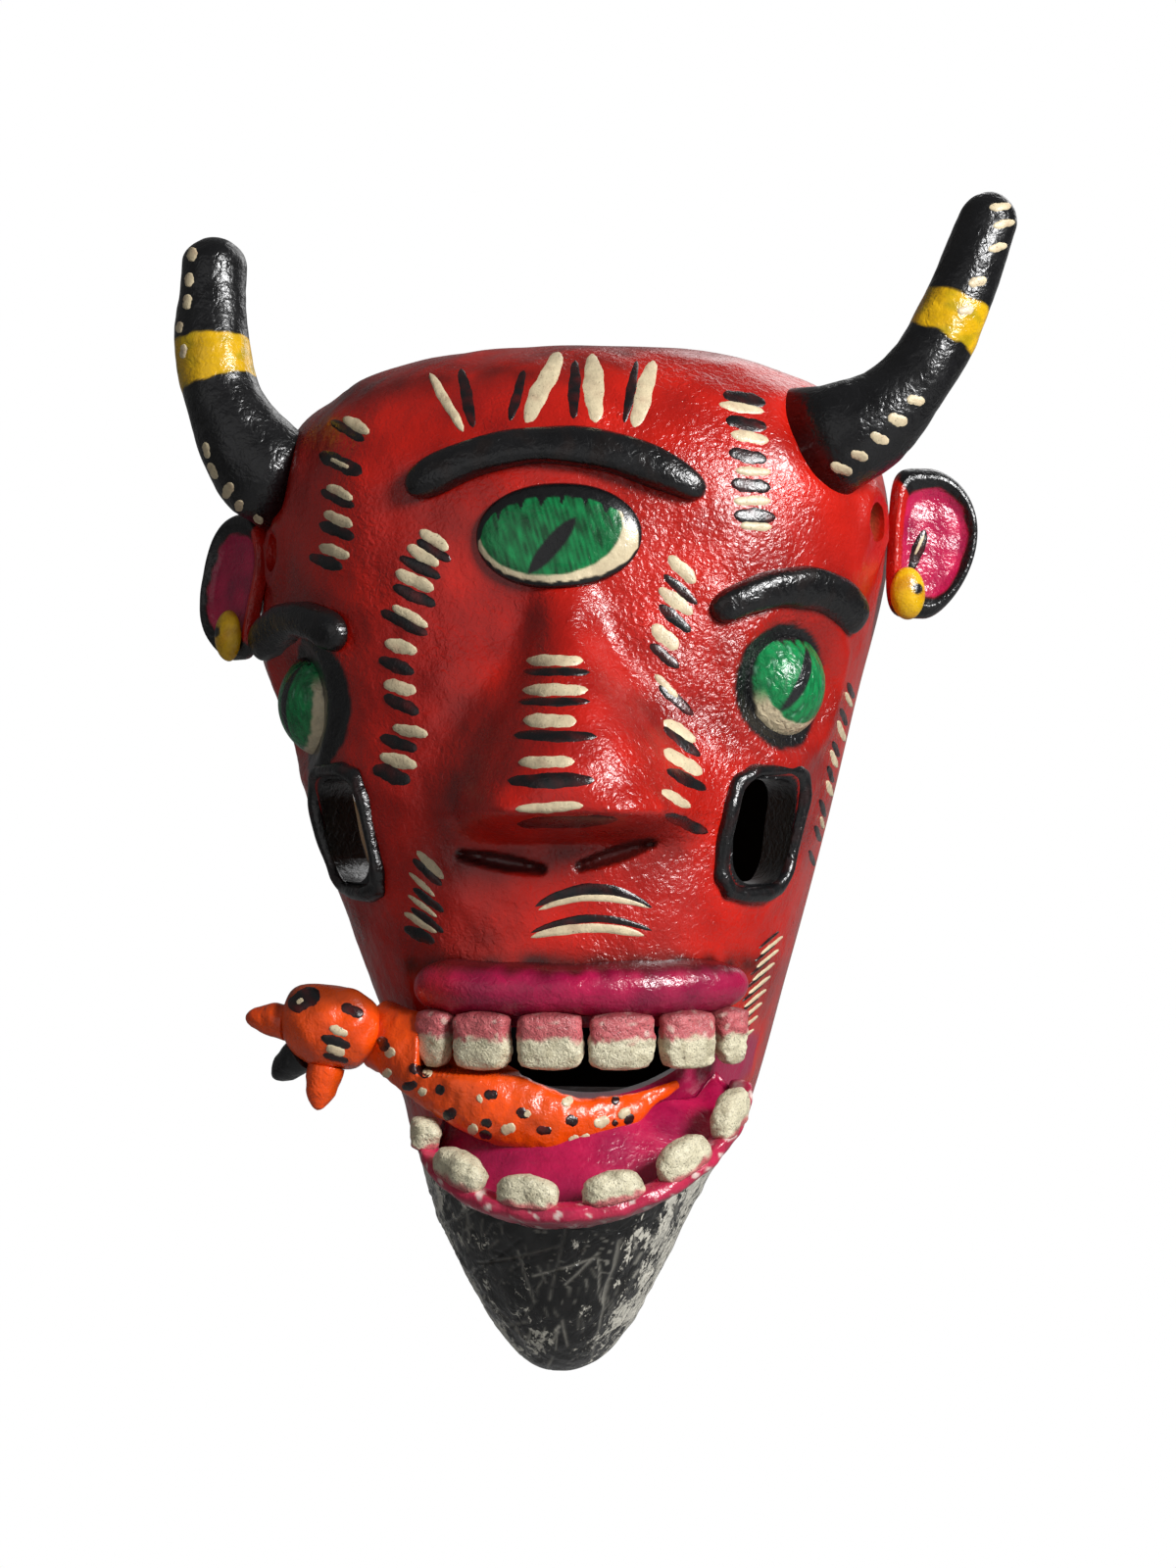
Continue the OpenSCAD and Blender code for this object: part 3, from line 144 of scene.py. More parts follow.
@dataclass(frozen=True)
class Finish:
    """One painted or bare finish, whose colour comes from the brushed-on paint of each piece.

    Attributes:
        name: the finish's name, for the real paint and how it was put on.
        slot: the record's material slot; not used.
        coat: how glossy the surface dried.
        mottle: how much the paint's depth varies, as a share of its colour.
        mottle_mm: size of that variation.
        peel_mm: size of the dried paint's wrinkles.
        peel_depth_mm: their depth.
        grain_mm: size of the finest roughness, brush hairs or pores.
        grain_depth_mm: its depth.
        grit: share of the surface where dark dirt sits in the pores.
        stretch: how much longer the brush marks are than wide, along Z.
        flake: how readily the paint has flaked to the ground where it is wrinkled, 0 for not.
        flake_mm: size of the flakes.
    """
    name: str
    slot: str
    coat: Coat = Coat.GLOSS
    mottle: float = 0.18
    mottle_mm: float = 14.0
    peel_mm: float = 2.2
    peel_depth_mm: float = 0.22
    grain_mm: float = 0.7
    grain_depth_mm: float = 0.05
    grit: float = 0.0
    stretch: float = 1.0
    flake: float = 0.0
    flake_mm: float = 2.4

    def material(self) -> bpy.types.Material:
        """Make the material, or return it if an earlier piece already has it."""
        old = bpy.data.materials.get(self.name)
        if old:
            return old
        mat = bpy.data.materials.new(self.name)
        tree = shader_tree(mat)
        rough, coat, spec = self.coat.value
        place = add_node(tree, "ShaderNodeTexCoord").outputs["Object"]
        place = add_node(tree, "ShaderNodeMapping", {"Scale": (1, 1, 1 / self.stretch)},
                         {"Vector": place}).outputs[0]
        paint = add_node(tree, "ShaderNodeAttribute", {"attribute_name": "paint"}).outputs
        broad = noise(tree, place, self.mottle_mm, 5.0, 0.6)
        fine = noise(tree, place, self.grain_mm, 3.0, 0.6)
        peel = noise(tree, place, self.peel_mm, 2.5, 0.5, 0.8)
        tone = spread(tree, broad, 0.3, 0.7, 1 - self.mottle, 1 + self.mottle * 0.6)
        colour = add_node(tree, "ShaderNodeVectorMath", {"operation": "SCALE"},
                          {0: paint["Color"], "Scale": tone}).outputs[0]
        if self.grit:
            pores = spread(tree, fine, 0.36 + 0.2 * self.grit, 0.3 + 0.2 * self.grit, 0.0, 0.65)
            colour = painted_over(tree, colour, DIRT, pores)
        if self.flake:
            torn = noise(tree, place, self.flake_mm, 6.0, 0.7, 0.7)
            torn = add_node(tree, "ShaderNodeMath", {"operation": "MULTIPLY_ADD", 1: self.flake},
                            {0: paint["Alpha"], 2: torn}).outputs[0]
            colour = painted_over(tree, colour, linear(GESSO), spread(tree, torn, 0.8, 0.86))
        bump = add_node(tree, "ShaderNodeMath", {"operation": "MULTIPLY"},
                        {0: peel, 1: paint["Alpha"]}).outputs[0]
        links = {"Height": bump}
        for depth in (self.peel_depth_mm, self.grain_depth_mm):
            bump = add_node(tree, "ShaderNodeBump", {"Strength": 1.0, "Distance": depth * MM * 2},
                            links).outputs[0]
            links = {"Height": fine, "Normal": bump}
        gloss = spread(tree, broad, 0.3, 0.7, rough * 0.75, min(1.0, rough * 1.3))
        shader = add_node(tree, "ShaderNodeBsdfPrincipled",
                          {"Coat Weight": coat, "Coat Roughness": 0.16,
                           "Specular IOR Level": spec},
                          {"Base Color": colour, "Roughness": gloss, "Normal": bump,
                           "Coat Normal": bump}).outputs[0]
        add_node(tree, "ShaderNodeOutputMaterial", None, {"Surface": shader})
        return mat


# Oil enamel brushed thick over gesso: deep colour, a wet gloss and wrinkles where it skinned over
RED_ENAMEL = Finish("oil_enamel_brushed_red", "red_enamel", mottle=0.2, mottle_mm=22, peel_mm=1.9,
                    peel_depth_mm=0.34, grain_mm=0.6, grain_depth_mm=0.035)
# The same enamel in black, which shows mostly as highlights along its edges
BLACK_ENAMEL = Finish("oil_enamel_brushed_black", "black_enamel", mottle=0.3, mottle_mm=9,
                      peel_mm=2.4, peel_depth_mm=0.2, grain_mm=0.8)
# Black enamel cut by knife lines and worn off in flakes, so that the white gesso speckles it
SCRAPED_BLACK = Finish("black_enamel_scraped_to_gesso", "black_gesso", mottle=0.35, mottle_mm=6,
                       peel_mm=3.0, peel_depth_mm=0.6, grain_mm=0.9, stretch=1.7, flake=0.42)
# Lip and gum enamel, wet-looking, over a soft bulging ground
PINK_ENAMEL = Finish("oil_enamel_brushed_pink", "pink_enamel", mottle=0.22, mottle_mm=7,
                     peel_mm=2.6, peel_depth_mm=0.2)
# Satin tooth paint over gesso, with brown dirt rubbed into its pin holes
TOOTH_PAINT = Finish("satin_paint_on_gesso_teeth", "tooth_paint", Coat.SATIN, mottle=0.16,
                     mottle_mm=4, peel_mm=1.6, peel_depth_mm=0.3, grain_mm=0.55,
                     grain_depth_mm=0.12, grit=0.3)
# Orange enamel on the feline, smooth and wet, a little thinner in patches
ORANGE_ENAMEL = Finish("oil_enamel_brushed_orange", "orange_enamel", mottle=0.14, mottle_mm=8)
# Eye enamel laid on in streaks, glossy as a wet eye
EYE_ENAMEL = Finish("oil_enamel_streaked_eye", "eye_enamel", mottle=0.16, mottle_mm=3,
                    peel_mm=2.6, peel_depth_mm=0.34, grain_mm=0.5, grain_depth_mm=0.03)
# Yellow enamel of the beads, with finer wrinkles on so small a piece
YELLOW_ENAMEL = Finish("oil_enamel_brushed_yellow", "yellow_enamel", mottle=0.2, mottle_mm=5,
                       peel_mm=1.8, peel_depth_mm=0.14)
# Cream brush strokes, dry and slightly raised, with red bled through them
CREAM_STROKE = Finish("oil_enamel_stroke_cream", "tooth_paint", Coat.SATIN, mottle=0.2,
                      mottle_mm=3, peel_mm=1.4, peel_depth_mm=0.12, grit=0.05)
# Black brush strokes, glossier and smoother than the cream
BLACK_STROKE = Finish("oil_enamel_stroke_black", "black_enamel", mottle=0.2, mottle_mm=4,
                      peel_mm=1.6, peel_depth_mm=0.12)
# Gouged light wood behind the face: bare, with grain running down it
BARE_WOOD = Finish("bare_gouged_light_wood", "bare_wood", Coat.RAW, mottle=0.3, mottle_mm=5,
                   peel_mm=5, peel_depth_mm=0.5, grain_depth_mm=0.1, grain_mm=0.8, stretch=7.0)

RED, RED_DEEP, RED_BROWN = "#CB1A09", "#900D08", "#3F0D09"
BLACK, CREAM, YELLOW = "#0D0D0F", "#D9C9A6", "#E2B007"
PINK, MAGENTA, GUM = "#C9174F", "#9C1143", "#BC2B4A"
ORANGE, GREEN, WOOD = "#F65004", "#0A8A4A", "#B08A5C"
# the third colour here is painted shade, the dark inside the hollow behind the openings
TOOTH, GESSO, HOLLOW_SHADE = "#DAD2B4", "#D8D4C6", "#2A0A08"
DIRT = (0.05, 0.03, 0.02)


# ---- small sums

def ease(a: float, b: float, v: Array) -> Array:
    """Smooth step of v from 0 at a to 1 at b."""
    t = np.clip((np.asarray(v, float) - a) / (b - a), 0, 1)
    return t * t * (3 - 2 * t)


def unit(v: Sequence[float]) -> Array:
    """The vector of length 1 along v."""
    v = np.asarray(v, float)
    return v / norm(v, axis=-1, keepdims=True)


def ripple(points: Array, size: float, seed: int, waves: int = 14) -> Array:
    """Smooth hand-made unevenness, about -1 to 1, from a few crossed waves.

    Args:
        points: places in mm, with x, y and z last.
        size: spacing of the bumps in mm.
        seed: start of the random draw.
        waves: how many waves are crossed.

    Returns:
        One value for each place.
    """
    rng = np.random.default_rng(seed)
    out = np.zeros(points.shape[:-1])
    for _ in range(waves):
        k = unit(rng.normal(size=3)) * rng.uniform(0.7, 1.4) * 2 * pi / size
        out = out + np.cos(points @ k + rng.uniform(0, 2 * pi))
    return out / sqrt(waves * 1.4)


def blend_colour(base: Array, colour: str, share: Array) -> Array:
    """Lay a colour over base colours, as much as share says at each place."""
    share = np.clip(np.asarray(share, float), 0, 1)[..., None]
    return base * (1 - share) + np.array(linear(colour)) * share


def flat_colour(count: int, colour: str) -> Array:
    """The same colour at each of that many places."""
    return np.tile(linear(colour), (count, 1))


def mottled(p: Array, base: str, patch: str, share: float, size: float, seed: int) -> Array:
    """A colour at places in mm, with soft patches of another as strong as share."""
    return blend_colour(flat_colour(len(p), base), patch, share * ripple(p, size, seed).clip(0, 1))


def heading(turn: Array) -> tuple[Array, Array]:
    """The directions to the right of a turn in degrees, and out along it."""
    t = np.radians(np.asarray(turn, float))
    c, s, zero = np.cos(t), np.sin(t), np.zeros_like(t)
    return np.stack([c, s, zero], -1), np.stack([s, -c, zero], -1)


def square_to(way: Array) -> tuple[Array, Array]:
    """Two directions square to a way, the first of them facing the viewer."""
    first = unit(np.array([0, -1.0, 0]) + way[1] * way)
    return first, np.cross(way, first)


def around(count: int) -> Array:
    """Angles all round, in radians."""
    return np.arange(count) * 2 * pi / count


def ellipse(centre: Array, axes: tuple[Array, Array], a: Array, wide: float, tall: float) -> Array:
    """Places at angles a on an ellipse with those two axes."""
    return centre + wide * np.cos(a)[:, None] * axes[0] + tall * np.sin(a)[:, None] * axes[1]


def mound(p: Array, centre: Array, size: float, power: float = 2.0) -> Array:
    """A rounded mound of height 1 at a place."""
    return np.exp(-(norm(p - centre, axis=-1) / size) ** power)


def ridge(p: Array, centre: Array, radius: float, width: float) -> Array:
    """A rounded ridge of height 1 on a circle round a place."""
    return np.exp(-((norm(p - centre, axis=-1) - radius) / width) ** 2)


# ---- meshes

def linked(name: str, data: bpy.types.ID) -> Object:
    """A new object with that data, linked into the scene."""
    obj = bpy.data.objects.new(name, data)
    bpy.context.scene.collection.objects.link(obj)
    return obj


def mesh_object(name: str, shape: Shape) -> Object:
    """A new object made of points in mm and loops of their numbers."""
    mesh = bpy.data.meshes.new(name)
    mesh.from_pydata((np.asarray(shape[0], float) * MM).tolist(), [], shape[1])
    return linked(name, mesh)


def make_piece(name: str, shape: Shape, finish: Finish, colours: Array, peel: Array = 1.0,
               nodes: Sequence[str] = ()) -> Object:
    """Make a piece of the mask.

    Args:
        name: the piece's name.
        shape: places in mm, and loops of their numbers.
        finish: the finish it carries.
        colours: the paint's linear colour at each vertex.
        peel: how strongly the paint wrinkles, at each vertex or everywhere.
        nodes: frame nodes that the piece stands for.

    Returns:
        The new object, already riding on the mask's body.
    """
    obj, slot = mesh_object(name, shape), finish.slot
    mesh = obj.data
    mesh.validate()
    mesh.update()
    mesh.materials.append(finish.material())
    mesh.polygons.foreach_set("use_smooth", np.ones(len(mesh.polygons), bool))
    set_paint(mesh, colours, peel)
    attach(obj, "root")
    if nodes:
        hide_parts(*nodes)
    return obj


def set_paint(mesh: bpy.types.Mesh, colours: Array, peel: Array = 1.0) -> None:
    """Store the paint's colour, and its wrinkling as alpha, on a mesh's vertices.

    Args:
        mesh: the mesh to paint.
        colours: linear colour, at each vertex or everywhere.
        peel: wrinkling, at each vertex or everywhere.
    """
    old = mesh.color_attributes.get("paint")
    layer = old or mesh.color_attributes.new("paint", "FLOAT_COLOR", "POINT")
    data = np.empty((len(mesh.vertices), 4), np.float32)
    data[:, :3], data[:, 3] = colours, peel
    layer.data.foreach_set("color", data.ravel())


def grid_faces(rows: int, cols: int, start: int = 0, closed: bool = True, tube: bool = False) -> list:
    """Quads over rows of points.

    Args:
        rows: number of rows.
        cols: points in a row.
        start: number of the first point.
        closed: each row closes on itself.
        tube: the last row joins the first.

    Returns:
        The faces.
    """
    faces = []
    for i in range(rows if tube else rows - 1):
        a, b = start + i * cols, start + (i + 1) % rows * cols
        for j in range(cols if closed else cols - 1):
            k = (j + 1) % cols
            faces.append((a + j, a + k, b + k, b + j))
    return faces


def lofted(rings: Array) -> Shape:
    """Skin closed rings, with a point closing each end.

    Args:
        rings: places, shaped rows, points, 3.

    Returns:
        The vertices, and the faces wound outward.
    """
    rows, cols = rings.shape[:2]
    verts = np.vstack([rings.reshape(-1, 3), rings[0].mean(0), rings[-1].mean(0)])
    faces = grid_faces(rows, cols)
    last, n = (rows - 1) * cols, rows * cols
    for j in range(cols):
        k = (j + 1) % cols
        faces += [(k, j, n), (last + j, last + k, n + 1)]
    return verts, turned_out(verts, faces)


def turned_out(verts: Array, faces: list) -> list:
    """The same faces, wound so that a closed skin of them faces outward."""
    total = 0.0
    for face in faces:
        a = verts[face[0]]
        for i in range(1, len(face) - 1):
            total += float(np.dot(np.cross(a, verts[face[i]]), verts[face[i + 1]]))
    return faces if total > 0 else [tuple(reversed(face)) for face in faces]


def swollen(rings: Array, lump: Array) -> Array:
    """Rings pushed outward from their middles by lump."""
    return rings + unit(rings - rings.mean(1, keepdims=True) + 1e-6) * lump[..., None]


def joined(shapes: Sequence[Shape]) -> Shape:
    """Several shapes as one."""
    faces, count = [], 0
    for verts, loops in shapes:
        faces += [tuple(count + k for k in loop) for loop in loops]
        count += len(verts)
    return np.vstack([verts for verts, _ in shapes]), faces


# ---- the face's form

@dataclass(frozen=True)
class FaceForm:
    """The carved surface of the face and beard, by turn and height.

    A turn is in degrees round from straight ahead, + to the viewer's right.
    """
    crown_z: float = 60.0
    shoulder_z: float = -12.0
    chin_z: float = -184.0
    tip_z: float = -258.0
    tip_round: float = 32.0
    crown_power: float = 3.0
    tip_power: float = 2.3
    squareness: float = 2.3
    eye_right: tuple[float, float] = (54.0, -47.0)
    eye_left: tuple[float, float] = (-65.0, -52.0)
    levels: tuple[tuple[float, float, float, float], ...] = (
        (64, 99, 74, 0), (20, 99, 77, 0), (-12, 97, 79, 0), (-49, 90.5, 82, -2.5),
        (-91, 80.5, 86, -2.5), (-136, 66, 87, 0), (-184, 52, 80, 0), (-209, 42, 73, -3),
        (-240, 28, 60, -3), (-262, 24, 52, -3))

    def level(self, z: Array, column: int) -> Array:
        """Half width (1), depth (2) or lean (3) at height z."""
        zs = np.array([row[0] for row in self.levels])
        vs = np.array([row[column] for row in self.levels], float)
        z = np.clip(np.asarray(z, float), zs[-1], zs[0])
        slope = np.empty(len(zs))
        for i in range(len(zs)):
            a, b = max(i - 1, 0), min(i + 1, len(zs) - 1)
            slope[i] = (vs[b] - vs[a]) / (zs[b] - zs[a])
        i = np.clip(np.searchsorted(-zs, -z, side="right") - 1, 0, len(zs) - 2)
        h = zs[i + 1] - zs[i]
        t = (z - zs[i]) / h
        return ((2 * t ** 3 - 3 * t * t + 1) * vs[i] + (t ** 3 - 2 * t * t + t) * h * slope[i]
                + (3 * t * t - 2 * t ** 3) * vs[i + 1] + (t ** 3 - t * t) * h * slope[i + 1])

    def crown_cap(self, z: Array) -> Array:
        """Share of the full width left where the crown rounds over."""
        t = np.clip((np.asarray(z, float) - self.shoulder_z) / (self.crown_z - self.shoulder_z), 0, 1)
        return np.clip(1 - t ** self.crown_power, 0, 1) ** (1 / self.crown_power)

    def tip_cap(self, z: Array) -> Array:
        """Share of the full width left where the beard's end rounds off."""
        start = self.tip_z + self.tip_round
        t = np.clip((start - np.asarray(z, float)) / self.tip_round, 0, 1)
        return np.clip(1 - t ** self.tip_power, 0, 1) ** (1 / self.tip_power)

    def plan_depth(self, turn: Array) -> Array:
        """Share of the full depth at a turn."""
        s = np.clip(np.abs(np.sin(np.radians(turn))), 0, 1)
        return np.clip(1 - s ** self.squareness, 0, 1) ** (1 / self.squareness)

    def bowl(self, turn: Array, z: Array, inset: float = 0.0) -> Array:
        """The plain bowl without nose or hollows."""
        turn, z = np.broadcast_arrays(np.asarray(turn, float), np.asarray(z, float))
        cap = self.crown_cap(z)
        return np.stack([(self.level(z, 1) - inset) * cap * np.sin(np.radians(turn))
                         + self.level(z, 3),
                         -(self.level(z, 2) - inset) * cap * self.plan_depth(turn), z], -1)

    def relief(self, p: Array) -> Array:
        """Height of the nose, the temple's swell and the eye hollows over the bowl."""
        x, z = p[..., 0], p[..., 2]
        low = ease(-18, -80, z)
        rise = 32 * (0.18 * ease(-10, -30, z) + 0.82 * low)
        half = 9 + 17 * ease(-28, -82, z)
        out = rise * (1 - ease(-84, -95, z)) * np.exp(
            -(np.abs(x - 7 * (0.5 + 0.5 * low)) / half) ** 2.4)
        out = out + 7 * mound(p, self.bowl(-84, self.eye_left[1] + 20), 22, 2.5)
        for spot in (self.eye_right, self.eye_left):
            out = out - 5 * mound(p, self.bowl(*spot), 21.76, 2.5)
        return out

    def skin(self, turn: Array, z: Array, off: Array = 0.0) -> Array:
        """A place on the carved surface, raised by off along the turn's outward direction."""
        p = self.bowl(turn, z)
        out = heading(np.broadcast_to(np.asarray(turn, float), p.shape[:-1]))[1]
        return p + (self.relief(p) + off)[..., None] * out

    def walk(self, turn: Array, z: Array, du: Array) -> Array:
        """The turn reached by going du mm sideways along the surface."""
        turn, z, du = np.broadcast_arrays(*(np.asarray(v, float) for v in (turn, z, du)))
        for _ in range(6):
            speed = norm(self.bowl(turn + 1, z) - self.bowl(turn - 1, z), axis=-1) / 2
            turn = turn + du / 6 / speed
        return turn

    def beside(self, turn: float, z: float, du: Array, dz: Array, off: Array = 0.0) -> Array:
        """A place du mm sideways and dz mm up from a place on the surface."""
        zz = z + np.asarray(dz, float)
        return self.skin(self.walk(turn, zz, du), zz, off)

    def turn_at_x(self, x: Array, z: Array) -> Array:
        """The turn at which the surface has sideways place x."""
        return np.degrees(np.arcsin(np.clip((x - self.level(z, 3)) / self.level(z, 1), -1, 1)))


FORM = FaceForm()


# ---- the viewer's eye and the brush

@dataclass
class Viewpoint:
    """The photograph's viewpoint, used to set the camera and to aim the painter's brush.

    Attributes:
        turn: degrees round to the viewer's right.
        distance: mm from the camera to the target.
        mm_per_px: mm in one pixel of the 1200 by 1600 frame, at the target.
        target: the target, in mm.
    """
    turn: float = 6.0
    distance: float = 760.0
    mm_per_px: float = 0.291
    target: tuple[float, float, float] = (8.5, -60.0, -77.0)
    width_px: int = 1200
    height_px: int = 1600
    sensor_mm: float = 24.0

    def axes(self) -> tuple[Array, Array, Array]:
        """The eye's place and its forward and right directions."""
        right, out = heading(self.turn)
        return np.array(self.target) + self.distance * out, -out, right

    def ray(self, px: float, py: float) -> tuple[Array, Array]:
        """The eye's place in mm and the direction through one pixel."""
        eye, forward, right = self.axes()
        k = self.mm_per_px / self.distance
        return eye, unit(forward + (px - self.width_px / 2) * k * right
                         - (py - self.height_px / 2) * k * UP)

    def pixels(self, points: Array) -> tuple[Array, Array]:
        """Where places in mm fall in the frame."""
        eye, forward, right = self.axes()
        d = points - eye
        f = self.distance / self.mm_per_px / (d @ forward)
        return self.width_px / 2 + f * (d @ right), self.height_px / 2 - f * (d @ UP)

    def make_camera(self) -> None:
        """Add the camera and make it the scene's."""
        data = bpy.data.cameras.new("camera")
        data.sensor_fit = "VERTICAL"
        data.sensor_height = self.sensor_mm
        data.lens = self.sensor_mm * self.distance / (self.mm_per_px * self.height_px)
        data.clip_start, data.clip_end = 0.01, 30
        cam = linked("camera", data)
        cam.location = self.axes()[0] * MM
        cam.rotation_euler = (pi / 2, 0, radians(self.turn))
        bpy.context.scene.camera = cam


VIEW = Viewpoint()


class Brush:
    """Lays raised strokes of paint on a piece, seen from the photograph's viewpoint.

    A stroke is a row: x and y of its start, x and y of its end and its width, in the frame's
    pixels, and then, where it is bowed, how far its middle bows to the left of its run.
    """
    BLUNT = 2.6
    INWARD = (0, 4, 8, 12, 16, 20)

    def __init__(self, target: Object, seed: int, raised: float = 0.32) -> None:
        """Set up the brush.

        Args:
            target: the piece to paint on.
            seed: start of the random draw for the strokes' edges.
            raised: the strokes' height in mm.
        """
        verts = [v.co.copy() for v in target.data.vertices]
        polys = [tuple(p.vertices) for p in target.data.polygons]
        self.tree = BVHTree.FromPolygons(verts, polys)
        self.rng = np.random.default_rng(seed)
        self.raised = raised

    def drop(self, px: float, py: float) -> Optional[tuple[Array, Array]]:
        """The place in mm and the outward direction where a pixel's ray lands."""
        eye, way = VIEW.ray(px, py)
        hit, normal, _, _ = self.tree.ray_cast(Vector(eye * MM), Vector(way))
        if hit is None:
            return None
        n = np.array(normal)
        return np.array(hit) / MM, n if n @ way < 0 else -n

    def lay(self, stroke: Sequence[float], scale: float, inward: float, along: int = 15,
            across: int = 6) -> Optional[Shape]:
        """The raised skin of one stroke.

        Args:
            stroke: the stroke's row.
            scale: how much its width is scaled.
            inward: how far it is moved towards the frame's middle, in pixels.
            along: rows along it.
            across: steps across it.

        Returns:
            Its vertices and faces, or None where it misses the piece.
        """
        x0, y0, x1, y1, width, *bow = stroke
        run = np.array([x1 - x0, y1 - y0])
        left = np.array([run[1], -run[0]]) / max(norm(run), 1e-6)
        wave = self.rng.uniform(0, 6.28, 4)
        rows = []
        for i in range(along + 1):
            s = 2 * i / along - 1
            full = max(0.0, 1 - abs(s) ** self.BLUNT) ** 0.5
            ragged = [1 + 0.1 * sin(5.1 * s + wave[0]) + 0.06 * sin(13 * s + wave[1]),
                      1 + 0.1 * sin(4.3 * s + wave[2]) + 0.06 * sin(11 * s + wave[3])]
            row = []
            for j in range(across + 1):
                t = 2 * j / across - 1
                half = width * scale / 2 * max(full, 0.06) * ragged[t > 0]
                at = (np.array([x0, y0]) + run * (s + 1) / 2
                      + left * (sum(bow) * (1 - s * s) + half * t))
                at[0] += inward if at[0] < VIEW.width_px / 2 else -inward
                landed = self.drop(*at)
                if landed is None:
                    return None
                edge = min(1.0, 2.2 * (1 - abs(t))) * min(1.0, 8 * (1 - abs(s)))
                row.append(landed[0] + landed[1] * (self.raised * (edge - 0.18)
                                                    + 0.05 * sin(9 * t + wave[0]) * edge))
            rows.append(row)
        grid = np.array(rows)
        loops = grid_faces(along + 1, across + 1, closed=False)
        return grid.reshape(-1, 3), [loop[::-1] for loop in loops]

    def paint(self, name: str, finish: Finish, strokes: Sequence[Sequence[float]],
              scale: float) -> Object:
        """Lay strokes of one colour as one piece.

        Args:
            name: the piece's name.
            finish: their finish.
            strokes: the strokes' rows.
            scale: how much their width is scaled.

        Returns:
            The piece.
        """
        shapes = []
        for stroke in strokes:
            tries = (self.lay(stroke, scale, inward) for inward in self.INWARD)
            laid = next((one for one in tries if one is not None), None)
            if laid is None:
                LOG.info("a stroke of %s at %s misses its piece", name, stroke[:4])
            else:
                shapes.append(laid)
        shape = joined(shapes)
        tint = flat_colour(len(shape[0]), CREAM if finish is CREAM_STROKE else BLACK)
        thin = 0.5 + 0.5 * ripple(shape[0], 5, 91)
        return make_piece(name, shape, finish, blend_colour(tint, RED_DEEP, 0.16 * thin ** 2), 0.6)


# ---- the face

def near_line(u: Array, v: Array, ends: tuple[float, float, float, float]) -> tuple[Array, Array]:
    """Distance of places in the frame from a line between two pixels.

    Args:
        u: across, in pixels.
        v: down, in pixels.
        ends: x and y of the line's start, then of its end.

    Returns:
        The distance in pixels and the share of the way along.
    """
    x0, y0, x1, y1 = ends
    run = np.array([x1 - x0, y1 - y0])
    t = np.clip(((u - x0) * run[0] + (v - y0) * run[1]) / (run @ run), 0, 1)
    return np.hypot(u - x0 - t * run[0], v - y0 - t * run[1]), t


